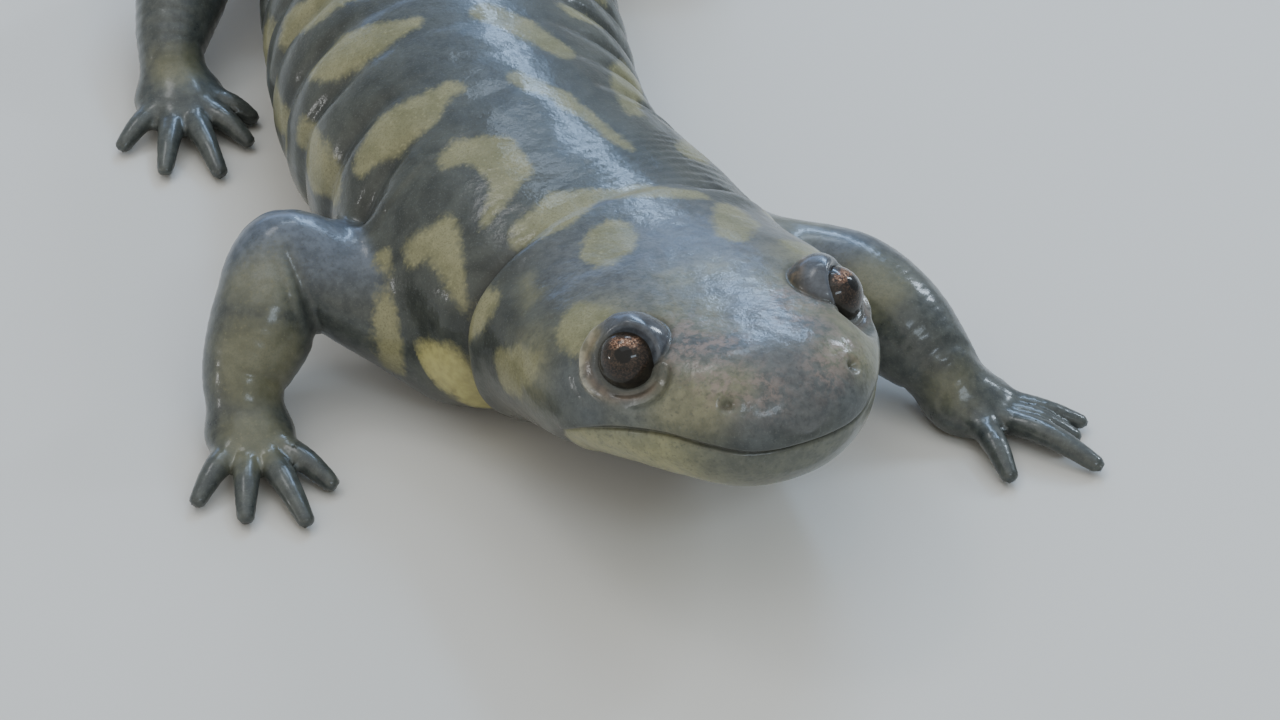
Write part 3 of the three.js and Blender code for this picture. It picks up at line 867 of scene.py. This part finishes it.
FAINT_STROKES = [
    [(21.2, -9.5, 0.5), (19.2, -9.9, 0.8)],
    [(6.2, 5.0, 1.0), (5.0, 6.8, 1.0)],
    [(9.2, -1.4, 1.0), (7.2, -2.8, 1.3)],
]
YELLOW_STROKES = [
    [(28.4, -18.0, 1.5), (26.8, -17.2, 1.6), (26.2, -19.6, 1.8)],
    [(28.4, 18.0, 1.5), (26.8, 17.2, 1.6), (26.2, 19.6, 1.8)],
]
# Soft tints of the head, alike on both sides, as (at, distance from the middle, up, radius).
HEAD_TINTS = {
    "olive_tint": [
        (4.4, 7.2, 2.2, 2.5), (2.5, 5.3, 2.6, 1.6), (6.4, 9.0, 0.8, 1.6),
        (13.0, 1.2, 6.1, 1.6), (12.8, 7.2, 5.1, 2.2), (15.5, 11.1, 2.1, 2.4),
        (3.5, 6.0, 3.1, 1.7), (2.2, 3.5, 3.6, 1.3), (9.8, 3.6, 5.4, 1.8),
    ],
    "brown_tint": [
        (7.8, 3.3, 5.3, 1.5), (5.5, 2.7, 5.0, 1.6), (3.0, 4.4, 3.8, 1.4),
        (6.0, 4.7, 4.8, 1.5), (1.4, 2.4, 3.0, 1.6),
    ],
    "dark_tint": [
        (11.5, 10.2, 2.8, 1.9), (9.3, 10.2, 0.9, 1.6), (6.6, 8.9, 1.3, 1.9),
        (23.4, 1.5, 7.0, 2.2), (18.8, 3.4, 6.4, 2.2), (1.0, 3.0, 0.8, 1.6),
    ],
}
# How far the edges of the markings wander, and the width of their bends.
WARP = {"body": (0.45, 2.2), "limb": (0.5, 2.0)}
# Beyond this far outside a marking nothing of it is left.
OUTSIDE = -3.0
# Left side of the head, the neck and the shoulder, which the photograph hides.
LEFT_STROKES = [
    [(14.5, 9.6, 1.3), (12.2, 9.4, 1.2)],
    [(18.6, 13.8, 1.3), (15.6, 13.2, 1.1)],
    [(29.5, 10.5, 0.9), (31.5, 12.6, 1.3)],
    [(24.6, 12.4, 1.3), (22.6, 11.6, 0.9)],
    [(30.0, 17.4, 1.6), (27.4, 17.0, 1.3)],
    [(38.5, 15.6, 1.1), (41.5, 16.6, 1.4)],
]


def hidden_strokes():
    """Bars in the manner of the visible ones, on the parts that the photograph doesn't show."""
    random = np.random.default_rng(7)

    def bar(at, hand, start, end, half, lean):
        steps = np.linspace(0, 1, 4)
        shape = (0.55, 1.0, 1.05, 0.65)
        sway = random.uniform(-0.7, 0.7, 4)
        return [
            (at + lean * t + s, hand * (start + (end - start) * t), half * w)
            for t, w, s in zip(steps, shape, sway)
        ]

    strokes = []
    for at in (64, 72.5, 80.5, 88.5, 96):
        strokes.append(bar(at, -1, 3.6, 12.5, random.uniform(1.6, 2.1), 2.0))
    for at in (54.5, 62, 70, 78, 86.5, 94):
        strokes.append(bar(at, 1, 2.6, 12.5, random.uniform(1.5, 2.1), 2.6))
    for at in (53, 62, 70.5, 79, 88):
        strokes.append(bar(at + 1.5, 1, 16.5, 19.5, random.uniform(1.2, 1.7), 1.0))
        strokes.append(bar(at + 7, -1, 16.5, 19.5, random.uniform(1.2, 1.7), 1.0))
    for i, at in enumerate(np.arange(104, 190, 7.6)):
        size = 1 - (at - 104) / 130
        hand = 1 if i % 2 else -1
        strokes.append(bar(at, hand, -1.5 * size, 8.5 * size, 1.9 * size, 2.2))
        strokes.append(bar(at + 2.2, -hand, 4.0 * size, 10.0 * size, 1.6 * size, 1.6))
    return strokes


def inside_stroke(stroke, at, around):
    """How far inside a stroke, in mm: below 0 outside it."""
    best = np.full(len(at), -FAR)
    for (a0, b0, r0), (a1, b1, r1) in zip(stroke, stroke[1:]):
        da, db = a1 - a0, b1 - b0
        t = np.clip(((at - a0) * da + (around - b0) * db) / (da * da + db * db), 0, 1)
        depth = r0 + (r1 - r0) * t - np.hypot(at - a0 - t * da, around - b0 - t * db)
        best = np.maximum(best, depth)
    return best


def inside_any(strokes, at, around):
    best = np.full(len(at), OUTSIDE)
    for stroke in strokes:
        reach = max(r for _, _, r in stroke) - OUTSIDE
        ats = [a for a, _, _ in stroke]
        near = (at > min(ats) - reach) & (at < max(ats) + reach)
        best[near] = np.maximum(best[near], inside_stroke(stroke, at[near], around[near]))
    return best


# Blotches on the limbs, as (x, y, z, radius) from the middle of the shoulders.
SHOULDER_BAND = [
    (-11.7, -3.5, 10.6, 0.8), (-11.7, -4.9, 8.9, 1.1), (-11.9, -6.1, 7.1, 1.1), (-11.9, -6.4, 4.8, 1.0),
]
LIMB_BLOTCHES = [
    (-20.0, -3.2, 9.9, 2.3), (-20.6, -6.6, 5.9, 2.9), (-21.6, -10.6, 2.4, 2.2),
    (24.6, -12.2, 3.4, 1.4), (20.2, -7.4, 8.6, 2.4), (16.4, -1.2, 10.6, 2.0),
]
# Blotches on the legs, as (limb, place along it, angle from the top, radius).
LEG_BLOTCHES = [
    ("right_hind", 0.16, -40, 2.4), ("right_hind", 0.30, 30, 2.2), ("right_hind", 0.47, -30, 2.2),
    ("right_hind", 0.62, 20, 1.9), ("right_hind", 0.90, 0, 1.7), ("left_hind", 0.20, 30, 2.4),
    ("left_hind", 0.34, -30, 2.3), ("left_hind", 0.50, 20, 2.2), ("left_hind", 0.66, -20, 1.8),
    ("left_hind", 0.92, 0, 1.7), ("left_fore", 0.12, -20, 1.9),
]


def limb_pale(points):
    """How far inside a pale blotch of a limb each point lies, in mm: below 0 outside it."""
    blotches = list(LIMB_BLOTCHES)
    for name, t, angle, radius in LEG_BLOTCHES:
        shape = SHAPES[name]
        i = int(round(t * (LIMB_STEPS - 1)))
        along = unit(shape["middles"][min(i + 1, LIMB_STEPS - 1)] - shape["middles"][i - 1])
        aside = unit(np.cross([0, 0, 1], along))
        turn = math.radians(angle)
        out = math.cos(turn) * np.cross(along, aside) + math.sin(turn) * aside
        blotches.append((*(shape["middles"][i] + out * shape["radii"][i]), radius))
    best = np.full(len(points), OUTSIDE)
    for x, y, z, radius in blotches:
        best = np.maximum(best, radius - length_of(points - (x, y, z)))
    return best


def band_pale(points):
    """The same for the pale band over the right shoulder."""
    band = np.array(SHOULDER_BAND)
    return np.maximum(-chain_distance(points, band[:, :3], band[:, 3]), OUTSIDE)


def head_tint(tints, here):
    """How much of a soft tint each point has, from 0 to 1."""
    bare = np.ones(len(here["at"]))
    for at, aside, up, radius in tints:
        off = (here["at"] - at) ** 2 + (np.abs(here["side"]) - aside) ** 2 + (here["up"] - up) ** 2
        bare *= 1 - np.exp(-off / radius**2)
    return (1 - bare) * (1 - here["limb"])


def markings(points, here):
    """The skin's attributes. Those of markings are in mm inside them, the others go from 0 to 1."""
    at, around, limb = here["at"], here["around"], here["limb"]
    body = 1 - limb
    beside = np.abs(around)
    depth, size = WARP["body"]
    a = at + depth * lattice_noise(points, size, 21)
    b = around + depth * lattice_noise(points, size, 22)
    depth, size = WARP["limb"]
    shift = np.stack([lattice_noise(points, size, seed) for seed in (31, 32, 33)], axis=1)
    shifted = points + depth * shift
    off_limb = 2 * OUTSIDE * smooth(0.25, 0.75, limb)
    off_body = 2 * OUTSIDE * smooth(0.75, 0.25, limb)
    pale = inside_any(STROKES + LEFT_STROKES + hidden_strokes(), a, b)
    jaw = smooth(0.1, -0.2, mouth_offset(at, here["up"])) * smooth(15, 12, at) * body
    return {
        "pale": np.maximum(pale + off_limb, band_pale(shifted)),
        "on_limb": limb_pale(shifted) + off_body,
        "faint": inside_any(FAINT_STROKES, a, b) + off_limb,
        "yellow": inside_any(YELLOW_STROKES, a, b) + off_limb,
        "jaw": jaw,
        "jaw_yellow": jaw * smooth(1.5, 5.5, at),
        "crown": smooth(30, 19, at) * smooth(11.5, 6, beside) * body,
        # The upper side of the limbs turns blue-grey, partly their own tone and partly a painted sheen
        # of light from above.
        "slate_and_sheen": limb * smooth(8.2, 11, points[:, 2]),
        # A blue tint along the middle of the back: a painted sheen of light from above and behind.
        "back_sheen": ridge(around, 6.0) * smooth(24, 32, at) * body,
        "belly": smooth(17, 22, beside) * smooth(24, 30, at) * body,
        # Painted shade of folds, grooves and pits, from 0 to 1.
        "painted_shade": np.clip(here["painted_shade"], 0, 1),
        "limb": limb,
        **{name: head_tint(tints, here) for name, tints in HEAD_TINTS.items()},
        **{name: here[name] for name in LID_MASKS},
    }


# ==== Blender pieces
def add_object(name, data):
    made = bpy.data.objects.new(name, data)
    bpy.context.scene.collection.objects.link(made)
    return made


def piece(name, points, faces, values, material, replaced):
    """A mesh in the place of CAD nodes, with one attribute for each column of values."""
    mesh = bpy.data.meshes.new(name)
    mesh.from_pydata(((points - CENTRE) * MM).tolist(), [], faces)
    mesh.polygons.foreach_set("use_smooth", np.ones(len(mesh.polygons), bool))
    for key, column in values.items():
        attribute = mesh.attributes.new(key, "FLOAT", "POINT")
        attribute.data.foreach_set("value", column.astype(np.float32))
    mesh.update()
    made = add_object(name, mesh)
    mesh.materials.append(material)
    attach(made, "root")
    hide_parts(*replaced)


def eyeball(hand):
    """An eyeball with a slightly bulging cornea. Its attributes give the angle off its axis."""
    origin, look = looking(EYE, GAZE, 1 if hand == "left" else -1)
    across = unit(np.cross(on_body(EYE["at"], 0, 1) - on_body(EYE["at"], 0, 0), look))
    top = np.cross(look, across)
    rings, sides = ((96, 128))
    polar = np.linspace(0, math.pi, rings + 1)[1:-1]
    turn = np.linspace(0, 2 * math.pi, sides, endpoint=False)
    polar, turn = np.meshgrid(polar, turn, indexing="ij")
    polar = np.r_[0, polar.ravel(), math.pi]
    turn = np.r_[0, turn.ravel(), 0]
    radius = EYE["radius"] + 0.1 * ridge(polar, 0.75)
    aside = np.sin(polar) * radius
    points = (
        origin
        + (np.cos(polar) * radius)[:, None] * look
        + (aside * np.cos(turn))[:, None] * across
        + (aside * np.sin(turn))[:, None] * top
    )
    faces = []
    last = len(points) - 1
    for k in range(sides):
        after = (k + 1) % sides
        faces.append([0, 1 + k, 1 + after])
        faces.append([last, last - sides + after, last - sides + k])
        for ring in range(rings - 2):
            a = 1 + ring * sides
            faces.append([a + k, a + sides + k, a + sides + after, a + after])
    slant = np.sin(polar)
    return points, faces, {"polar": polar, "top": np.sin(turn) * slant, "across": np.cos(turn) * slant}


# ==== Materials
def linear(r, g, b):
    """A colour given in 0 to 255 as a screen shows it, in linear light."""
    shown = (v / 255 for v in (r, g, b))
    return (*(v / 12.92 if v <= 0.04045 else ((v + 0.055) / 1.055) ** 2.4 for v in shown), 1.0)


class Nodes:
    """Short calls that make the nodes of one material or of the sky."""

    def __init__(self, name, kind="materials"):
        self.made = getattr(bpy.data, kind).new(name)
        self.made.use_nodes = True
        self.tree = self.made.node_tree
        sky = kind == "worlds"
        self.shader = self.tree.nodes["Background" if sky else "Principled BSDF"]
        self.place = self.add("ShaderNodeTexCoord").outputs["Generated" if sky else "Object"]

    def add(self, kind):
        return self.tree.nodes.new(kind)

    def join(self, value, socket):
        if isinstance(value, bpy.types.NodeSocket):
            self.tree.links.new(value, socket)
        else:
            socket.default_value = value

    def attribute(self, name):
        node = self.add("ShaderNodeAttribute")
        node.attribute_name = name
        return node.outputs["Fac"]

    def math(self, kind, a, b=0.0):
        node = self.add("ShaderNodeMath")
        node.operation = kind
        for value, socket in zip((a, b), node.inputs):
            self.join(value, socket)
        return node.outputs[0]

    def plus(self, a, b):
        return self.math("ADD", a, b)

    def minus(self, a, b):
        return self.math("SUBTRACT", a, b)

    def times(self, a, b):
        return self.math("MULTIPLY", a, b)

    def noise(self, size, detail=2.0, rough=0.5, warp=0.0):
        """Noise from 0 to 1 with blotches about size mm wide."""
        node = self.add("ShaderNodeTexNoise")
        self.join(self.place, node.inputs["Vector"])
        node.inputs["Scale"].default_value = 1 / (size * MM)
        node.inputs["Detail"].default_value = detail
        node.inputs["Roughness"].default_value = rough
        node.inputs["Distortion"].default_value = warp
        return node.outputs["Fac"]

    def cells(self, size):
        """Distance from the middle of the nearest cell, where cells are about size mm wide."""
        node = self.add("ShaderNodeTexVoronoi")
        self.join(self.place, node.inputs["Vector"])
        node.inputs["Scale"].default_value = 1 / (size * MM)
        return node.outputs["Distance"]

    def ramp(self, value, low, high, from_value=0.0, to_value=1.0):
        node = self.add("ShaderNodeMapRange")
        node.interpolation_type = "SMOOTHSTEP"
        self.join(value, node.inputs["Value"])
        ends = {"From Min": low, "From Max": high, "To Min": from_value, "To Max": to_value}
        for name, number in ends.items():
            node.inputs[name].default_value = number
        return node.outputs["Result"]

    def mix(self, share, a, b):
        node = self.add("ShaderNodeMix")
        node.data_type = "RGBA"
        self.join(share, node.inputs[0])
        self.join(a, node.inputs[6])
        self.join(b, node.inputs[7])
        return node.outputs[2]

    def between(self, value, low, high, first, last):
        """From the first colour to the last as a value goes from low to high."""
        return self.mix(self.ramp(value, low, high), linear(*first), linear(*last))

    def toward(self, direction):
        """How near a direction of the sky is to another: 1 for the same, below 0 for the other side."""
        node = self.add("ShaderNodeVectorMath")
        node.operation = "DOT_PRODUCT"
        self.join(self.place, node.inputs[0])
        node.inputs[1].default_value = Vector(direction).normalized()
        return node.outputs["Value"]

    def bump(self, height, distance, strength=1.0, normal=None):
        node = self.add("ShaderNodeBump")
        self.join(strength, node.inputs["Strength"])
        node.inputs["Distance"].default_value = distance * MM
        self.join(height, node.inputs["Height"])
        if normal is not None:
            self.join(normal, node.inputs["Normal"])
        return node.outputs["Normal"]

    def set(self, **values):
        for name, value in values.items():
            self.join(value, self.shader.inputs[name.replace("_", " ")])


# Colours of the skin and the eyes, in 0 to 255: blotches go from the first of a pair to the other.
SKIN = {
    "dark": ((44, 48, 45), (69, 73, 68)),
    "olive": ((110, 109, 80), (129, 127, 97)),
    "yellow": ((164, 158, 104), (184, 178, 118)),
    "brown": (134, 118, 110),
    "dark_fleck": (40, 43, 42),
    "light_fleck": (124, 130, 126),
    "olive_dark_fleck": (88, 88, 62),
    "olive_light_fleck": (158, 154, 118),
    # The colour of the painted shade in folds, grooves and pits.
    "painted_shade": (24, 26, 25),
}
IRIS = {
    "dark": ((30, 26, 23), (66, 53, 44)),
    "copper": ((118, 84, 64), (214, 178, 150)),
    "rim": ((30, 28, 25), (46, 43, 36)),
    "pupil": (7, 7, 8),
}
# Tints of the skin, each laid over the last one: attribute, share, its darker and its lighter colour.
DARK_LAYERS = [
    # A painted blue sheen along the middle of the back.
    ("back_sheen", 0.6, (58, 65, 71), (78, 86, 93)),
    ("crown", 0.8, (72, 75, 78), (95, 97, 98)),
    ("limb", 0.7, (56, 61, 62), (80, 84, 81)),
    # The limbs' upper side: partly their own blue-grey and partly a painted sheen.
    ("slate_and_sheen", 0.7, (72, 81, 94), (94, 104, 120)),
    ("olive_tint", 0.8, (100, 100, 78), (126, 124, 97)),
    ("jaw", 0.85, (82, 85, 77), (101, 103, 91)),
    ("jaw_yellow", 0.85, (128, 127, 92), (148, 146, 106)),
    ("belly", 0.6, (84, 85, 72), (106, 105, 88)),
]
DARK_SPOTS = ("dark_tint", 0.75, (62, 68, 72), (84, 90, 92))
LID_LAYERS = [
    ("lower_lid", 0.6, (74, 64, 56), (112, 94, 80)),
    ("lid_back", 0.9, (48, 46, 40), (112, 92, 68)),
    ("upper_lid", 0.85, (50, 54, 62), (76, 82, 92)),
    # A painted highlight along the wet crest of the lower lid.
    ("wet_line_and_glint", 0.5, (96, 94, 86), (186, 182, 162)),
]
# How much smoother the wettest parts are than the rest.
WET_PARTS = {"upper_lid": 0.22, "wet_line_and_glint": 0.2, "limb": 0.1}


def skin_material():
    """Dark blue-grey skin, ragged pale markings over it, the lids' own colours with a painted highlight
    along the lower lid's crest, painted shade in folds and pits, a painted sheen along the back, a
    blue-grey tint on the limbs' tops that is partly painted sheen, and a wet film.
    """
    n = Nodes("salamander_skin")
    coarse = n.noise(2.4, 3.0, 0.55, 0.4)
    medium = n.noise(0.75, 3.0, 0.6)
    fine = n.noise(0.24, 2.0, 0.6)
    grain = n.noise(0.12, 1.0, 0.5)
    frayed = n.plus(n.times(medium, 0.9), n.times(fine, 0.6))
    frayed = n.minus(frayed, 0.75)

    def mask(name, soft, share=1.0):
        return n.times(n.ramp(n.plus(n.attribute(name), frayed), -soft, soft), share)

    def tint(colour, name, share, low, high):
        """Lays a colour over another by an attribute, uneven in blotches."""
        uneven = n.between(medium, 0.3, 0.7, low, high)
        return n.mix(n.times(n.attribute(name), share), colour, uneven)

    pale_mask = mask("pale", 0.4)

    dark = n.between(coarse, 0.3, 0.7, *SKIN["dark"])
    for layer in DARK_LAYERS:
        dark = tint(dark, *layer)
    brown = n.ramp(n.noise(0.6, 3.0, 0.65, 0.3), 0.4, 0.64)
    brown = n.times(brown, n.times(n.attribute("brown_tint"), 0.8))
    dark = n.mix(brown, dark, linear(*SKIN["brown"]))
    dark = tint(dark, *DARK_SPOTS)
    dark = n.mix(n.ramp(fine, 0.52, 0.74, 0, 0.4), dark, linear(*SKIN["dark_fleck"]))
    dark = n.mix(n.ramp(grain, 0.55, 0.8, 0, 0.2), dark, linear(*SKIN["light_fleck"]))

    olive = n.between(coarse, 0.35, 0.65, *SKIN["olive"])
    olive = n.mix(n.ramp(grain, 0.45, 0.7, 0, 0.5), olive, linear(*SKIN["olive_dark_fleck"]))
    olive = n.mix(n.ramp(fine, 0.56, 0.72, 0, 0.4), olive, linear(*SKIN["olive_light_fleck"]))
    yellow = n.between(medium, 0.3, 0.7, *SKIN["yellow"])
    colour = n.mix(mask("faint", 0.9, 0.45), dark, olive)
    colour = n.mix(mask("on_limb", 1.3, 0.48), colour, olive)
    colour = n.mix(pale_mask, colour, olive)
    colour = n.mix(mask("yellow", 0.7, 0.9), colour, yellow)
    for layer in LID_LAYERS:
        colour = tint(colour, *layer)
    # Painted shade darkens the folds, grooves and pits.
    colour = n.mix(n.times(n.attribute("painted_shade"), 0.65), colour, linear(*SKIN["painted_shade"]))
    n.set(Base_Color=colour)

    wet = n.ramp(n.noise(3.2, 2.0, 0.5), 0.42, 0.62)
    rough = n.plus(n.times(wet, -0.12), n.times(medium, 0.22))
    rough = n.plus(rough, n.times(pale_mask, 0.06))
    for name, share in WET_PARTS.items():
        rough = n.minus(rough, n.times(n.attribute(name), share))
    n.set(Roughness=n.plus(rough, 0.42))
    pits = n.cells(0.3)
    height = n.plus(n.times(fine, 0.5), n.times(pits, 0.5))
    wettest = n.math("MAXIMUM", n.attribute("upper_lid"), n.attribute("wet_line_and_glint"))
    wettest = n.math("MAXIMUM", wettest, n.times(n.attribute("limb"), 0.7))
    calm = n.minus(1.0, n.times(wettest, 0.7))
    normal = n.bump(height, 0.06, n.times(calm, 0.42))
    normal = n.bump(medium, 0.1, n.times(calm, 0.3), normal)
    n.set(Normal=normal, IOR=1.4, Specular_IOR_Level=0.3)
    n.set(Coat_Weight=0.7, Coat_Roughness=0.17, Coat_IOR=1.4)
    film = n.bump(medium, 0.16, n.times(calm, 0.18))
    n.set(Coat_Normal=n.bump(height, 0.05, n.times(calm, 0.18), film))
    return n.made


def eye_material():
    """A round pupil, a dark flecked iris with a copper arc above the pupil, and a clear cornea."""
    n = Nodes("salamander_eye")
    polar = n.attribute("polar")
    top = n.attribute("top")
    across = n.attribute("across")
    flecks = n.noise(0.14, 3.0, 0.65, 0.6)
    iris = n.between(flecks, 0.4, 0.68, *IRIS["dark"])
    arc = n.times(n.ramp(top, 0.12, 0.32), n.ramp(top, 0.62, 0.46))
    arc = n.times(arc, n.ramp(n.math("ABSOLUTE", across), 0.55, 0.25))
    copper = n.between(flecks, 0.56, 0.66, *IRIS["copper"])
    iris = n.mix(n.times(arc, n.ramp(flecks, 0.38, 0.54)), iris, copper)
    rim = n.between(n.noise(0.5), 0.3, 0.7, *IRIS["rim"])
    ragged = n.plus(polar, n.times(n.minus(flecks, 0.5), 0.1))
    colour = n.mix(n.ramp(ragged, 0.24, 0.29), linear(*IRIS["pupil"]), iris)
    colour = n.mix(n.ramp(ragged, 0.72, 0.9), colour, rim)
    n.set(Base_Color=colour, Roughness=n.ramp(flecks, 0.2, 0.8, 0.3, 0.44), IOR=1.2)
    n.set(Normal=n.bump(flecks, 0.05, 0.4), Coat_Weight=1.0, Coat_Roughness=0.03, Coat_IOR=1.33)
    return n.made


# ==== Make the animal
points, quads, halves = build_mesh()
faces = polygons(quads, halves)
points, here = sculpt(points)
flesh = [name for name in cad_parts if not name.startswith("eye_")]
piece("skin", points, faces, markings(points, here), skin_material(), flesh)
eye_surface = eye_material()
for hand in ("left", "right"):
    ball, ball_faces, ball_values = eyeball(hand)
    piece("eyeball_" + hand, ball, ball_faces, ball_values, eye_surface, ["eye_" + hand])

# ==== Floor, light and camera
FLOOR_HALF = 3.0
FLOOR_COLOUR = (205, 204, 200)


def floor():
    mesh = bpy.data.meshes.new("floor")
    corners = [(x * FLOOR_HALF, y * FLOOR_HALF, 0) for x, y in ((-1, -1), (1, -1), (1, 1), (-1, 1))]
    mesh.from_pydata(corners, [], [(0, 1, 2, 3)])
    n = Nodes("pale_floor")
    n.set(Base_Color=linear(*FLOOR_COLOUR), Roughness=0.7)
    mesh.materials.append(n.made)
    add_object("floor", mesh)


def area_light(name, place, target, size, power, colour, roll):
    data = bpy.data.lights.new(name, "AREA")
    data.shape = "RECTANGLE"
    data.size, data.size_y = size
    data.energy = power
    data.color = colour
    made = add_object(name, data)
    made.location = place
    turn = (Vector(target) - Vector(place)).to_track_quat("-Z", "Y")
    made.rotation_euler = (turn @ Quaternion((0, 0, 1), math.radians(roll))).to_euler()


HEAD_PLACE = (0.006, -0.078, 0.012)
ARM_PLACE = (-0.016, -0.063, 0.01)
LEFT_ARM_PLACE = (0.025, -0.07, 0.005)
WHITE = (1.0, 1.0, 1.0)
# Name, place, what it faces, width and height in metres, power in watts, colour, roll in degrees.
LIGHTS = [
    ("sky_behind", (0.12, 0.3, 0.31), HEAD_PLACE, (0.34, 0.14), 0.23, (0.3, 0.56, 1.0), -48),
    ("low_sky", (-0.04, 0.33, 0.14), ARM_PLACE, (0.3, 0.09), 0.16, (0.3, 0.52, 1.0), 0),
    ("window_behind", (0.125, 0.245, 0.29), HEAD_PLACE, (0.25, 0.035), 0.5, (0.44, 0.67, 1.0), -48),
    ("overhead", (0.0, 0.02, 0.62), HEAD_PLACE, (0.8, 0.6), 1.2, (0.86, 0.93, 1.0), 0),
    ("arm_light", (0.03, 0.24, 0.42), ARM_PLACE, (0.14, 0.06), 0.22, (0.6, 0.78, 1.0), 0),
    ("side_window", (0.38, 0.155, 0.27), LEFT_ARM_PLACE, (0.05, 0.13), 0.7, (0.7, 0.84, 1.0), 0),
    ("glint", (-0.17, 0.12, 0.49), HEAD_PLACE, (0.13, 0.1), 0.24, WHITE, 0),
    ("front_glint", (0.12, -0.42, 0.36), HEAD_PLACE, (0.18, 0.06), 0.34, (0.7, 0.85, 1.0), 0),
    ("low_glint", (-0.44, -0.07, 0.09), HEAD_PLACE, (0.05, 0.03), 0.1, WHITE, 0),
]
floor()
for light in LIGHTS:
    area_light(*light)


def sky():
    """A studio sky that is brighter in front, without an edge that the eyes would show."""
    n = Nodes("studio", "worlds")
    front = n.ramp(n.toward((-0.5, -0.65, 0.55)), 0.1, 1.0)
    colour = n.mix(front, (0.46, 0.48, 0.49, 1), (1.06, 1.02, 0.93, 1))
    n.set(Color=colour, Strength=1.0)
    return n.made


bpy.context.scene.world = sky()

CAMERA = {"azimuth": -8, "elevation": 36, "distance": 300, "field": 16, "aim": (6.01, -71.99, 5.0)}


def camera():
    azimuth, elevation = math.radians(CAMERA["azimuth"]), math.radians(CAMERA["elevation"])
    across = math.cos(elevation)
    towards = Vector((math.sin(azimuth) * across, -math.cos(azimuth) * across, math.sin(elevation)))
    data = bpy.data.cameras.new("camera")
    data.sensor_width = 36
    data.lens = 18 / math.tan(math.radians(CAMERA["field"] / 2))
    data.clip_start = 0.01
    made = add_object("camera", data)
    made.location = (Vector(CAMERA["aim"]) + towards * CAMERA["distance"]) * MM
    made.rotation_euler = (-towards).to_track_quat("-Z", "Y").to_euler()
    bpy.context.scene.camera = made


camera()
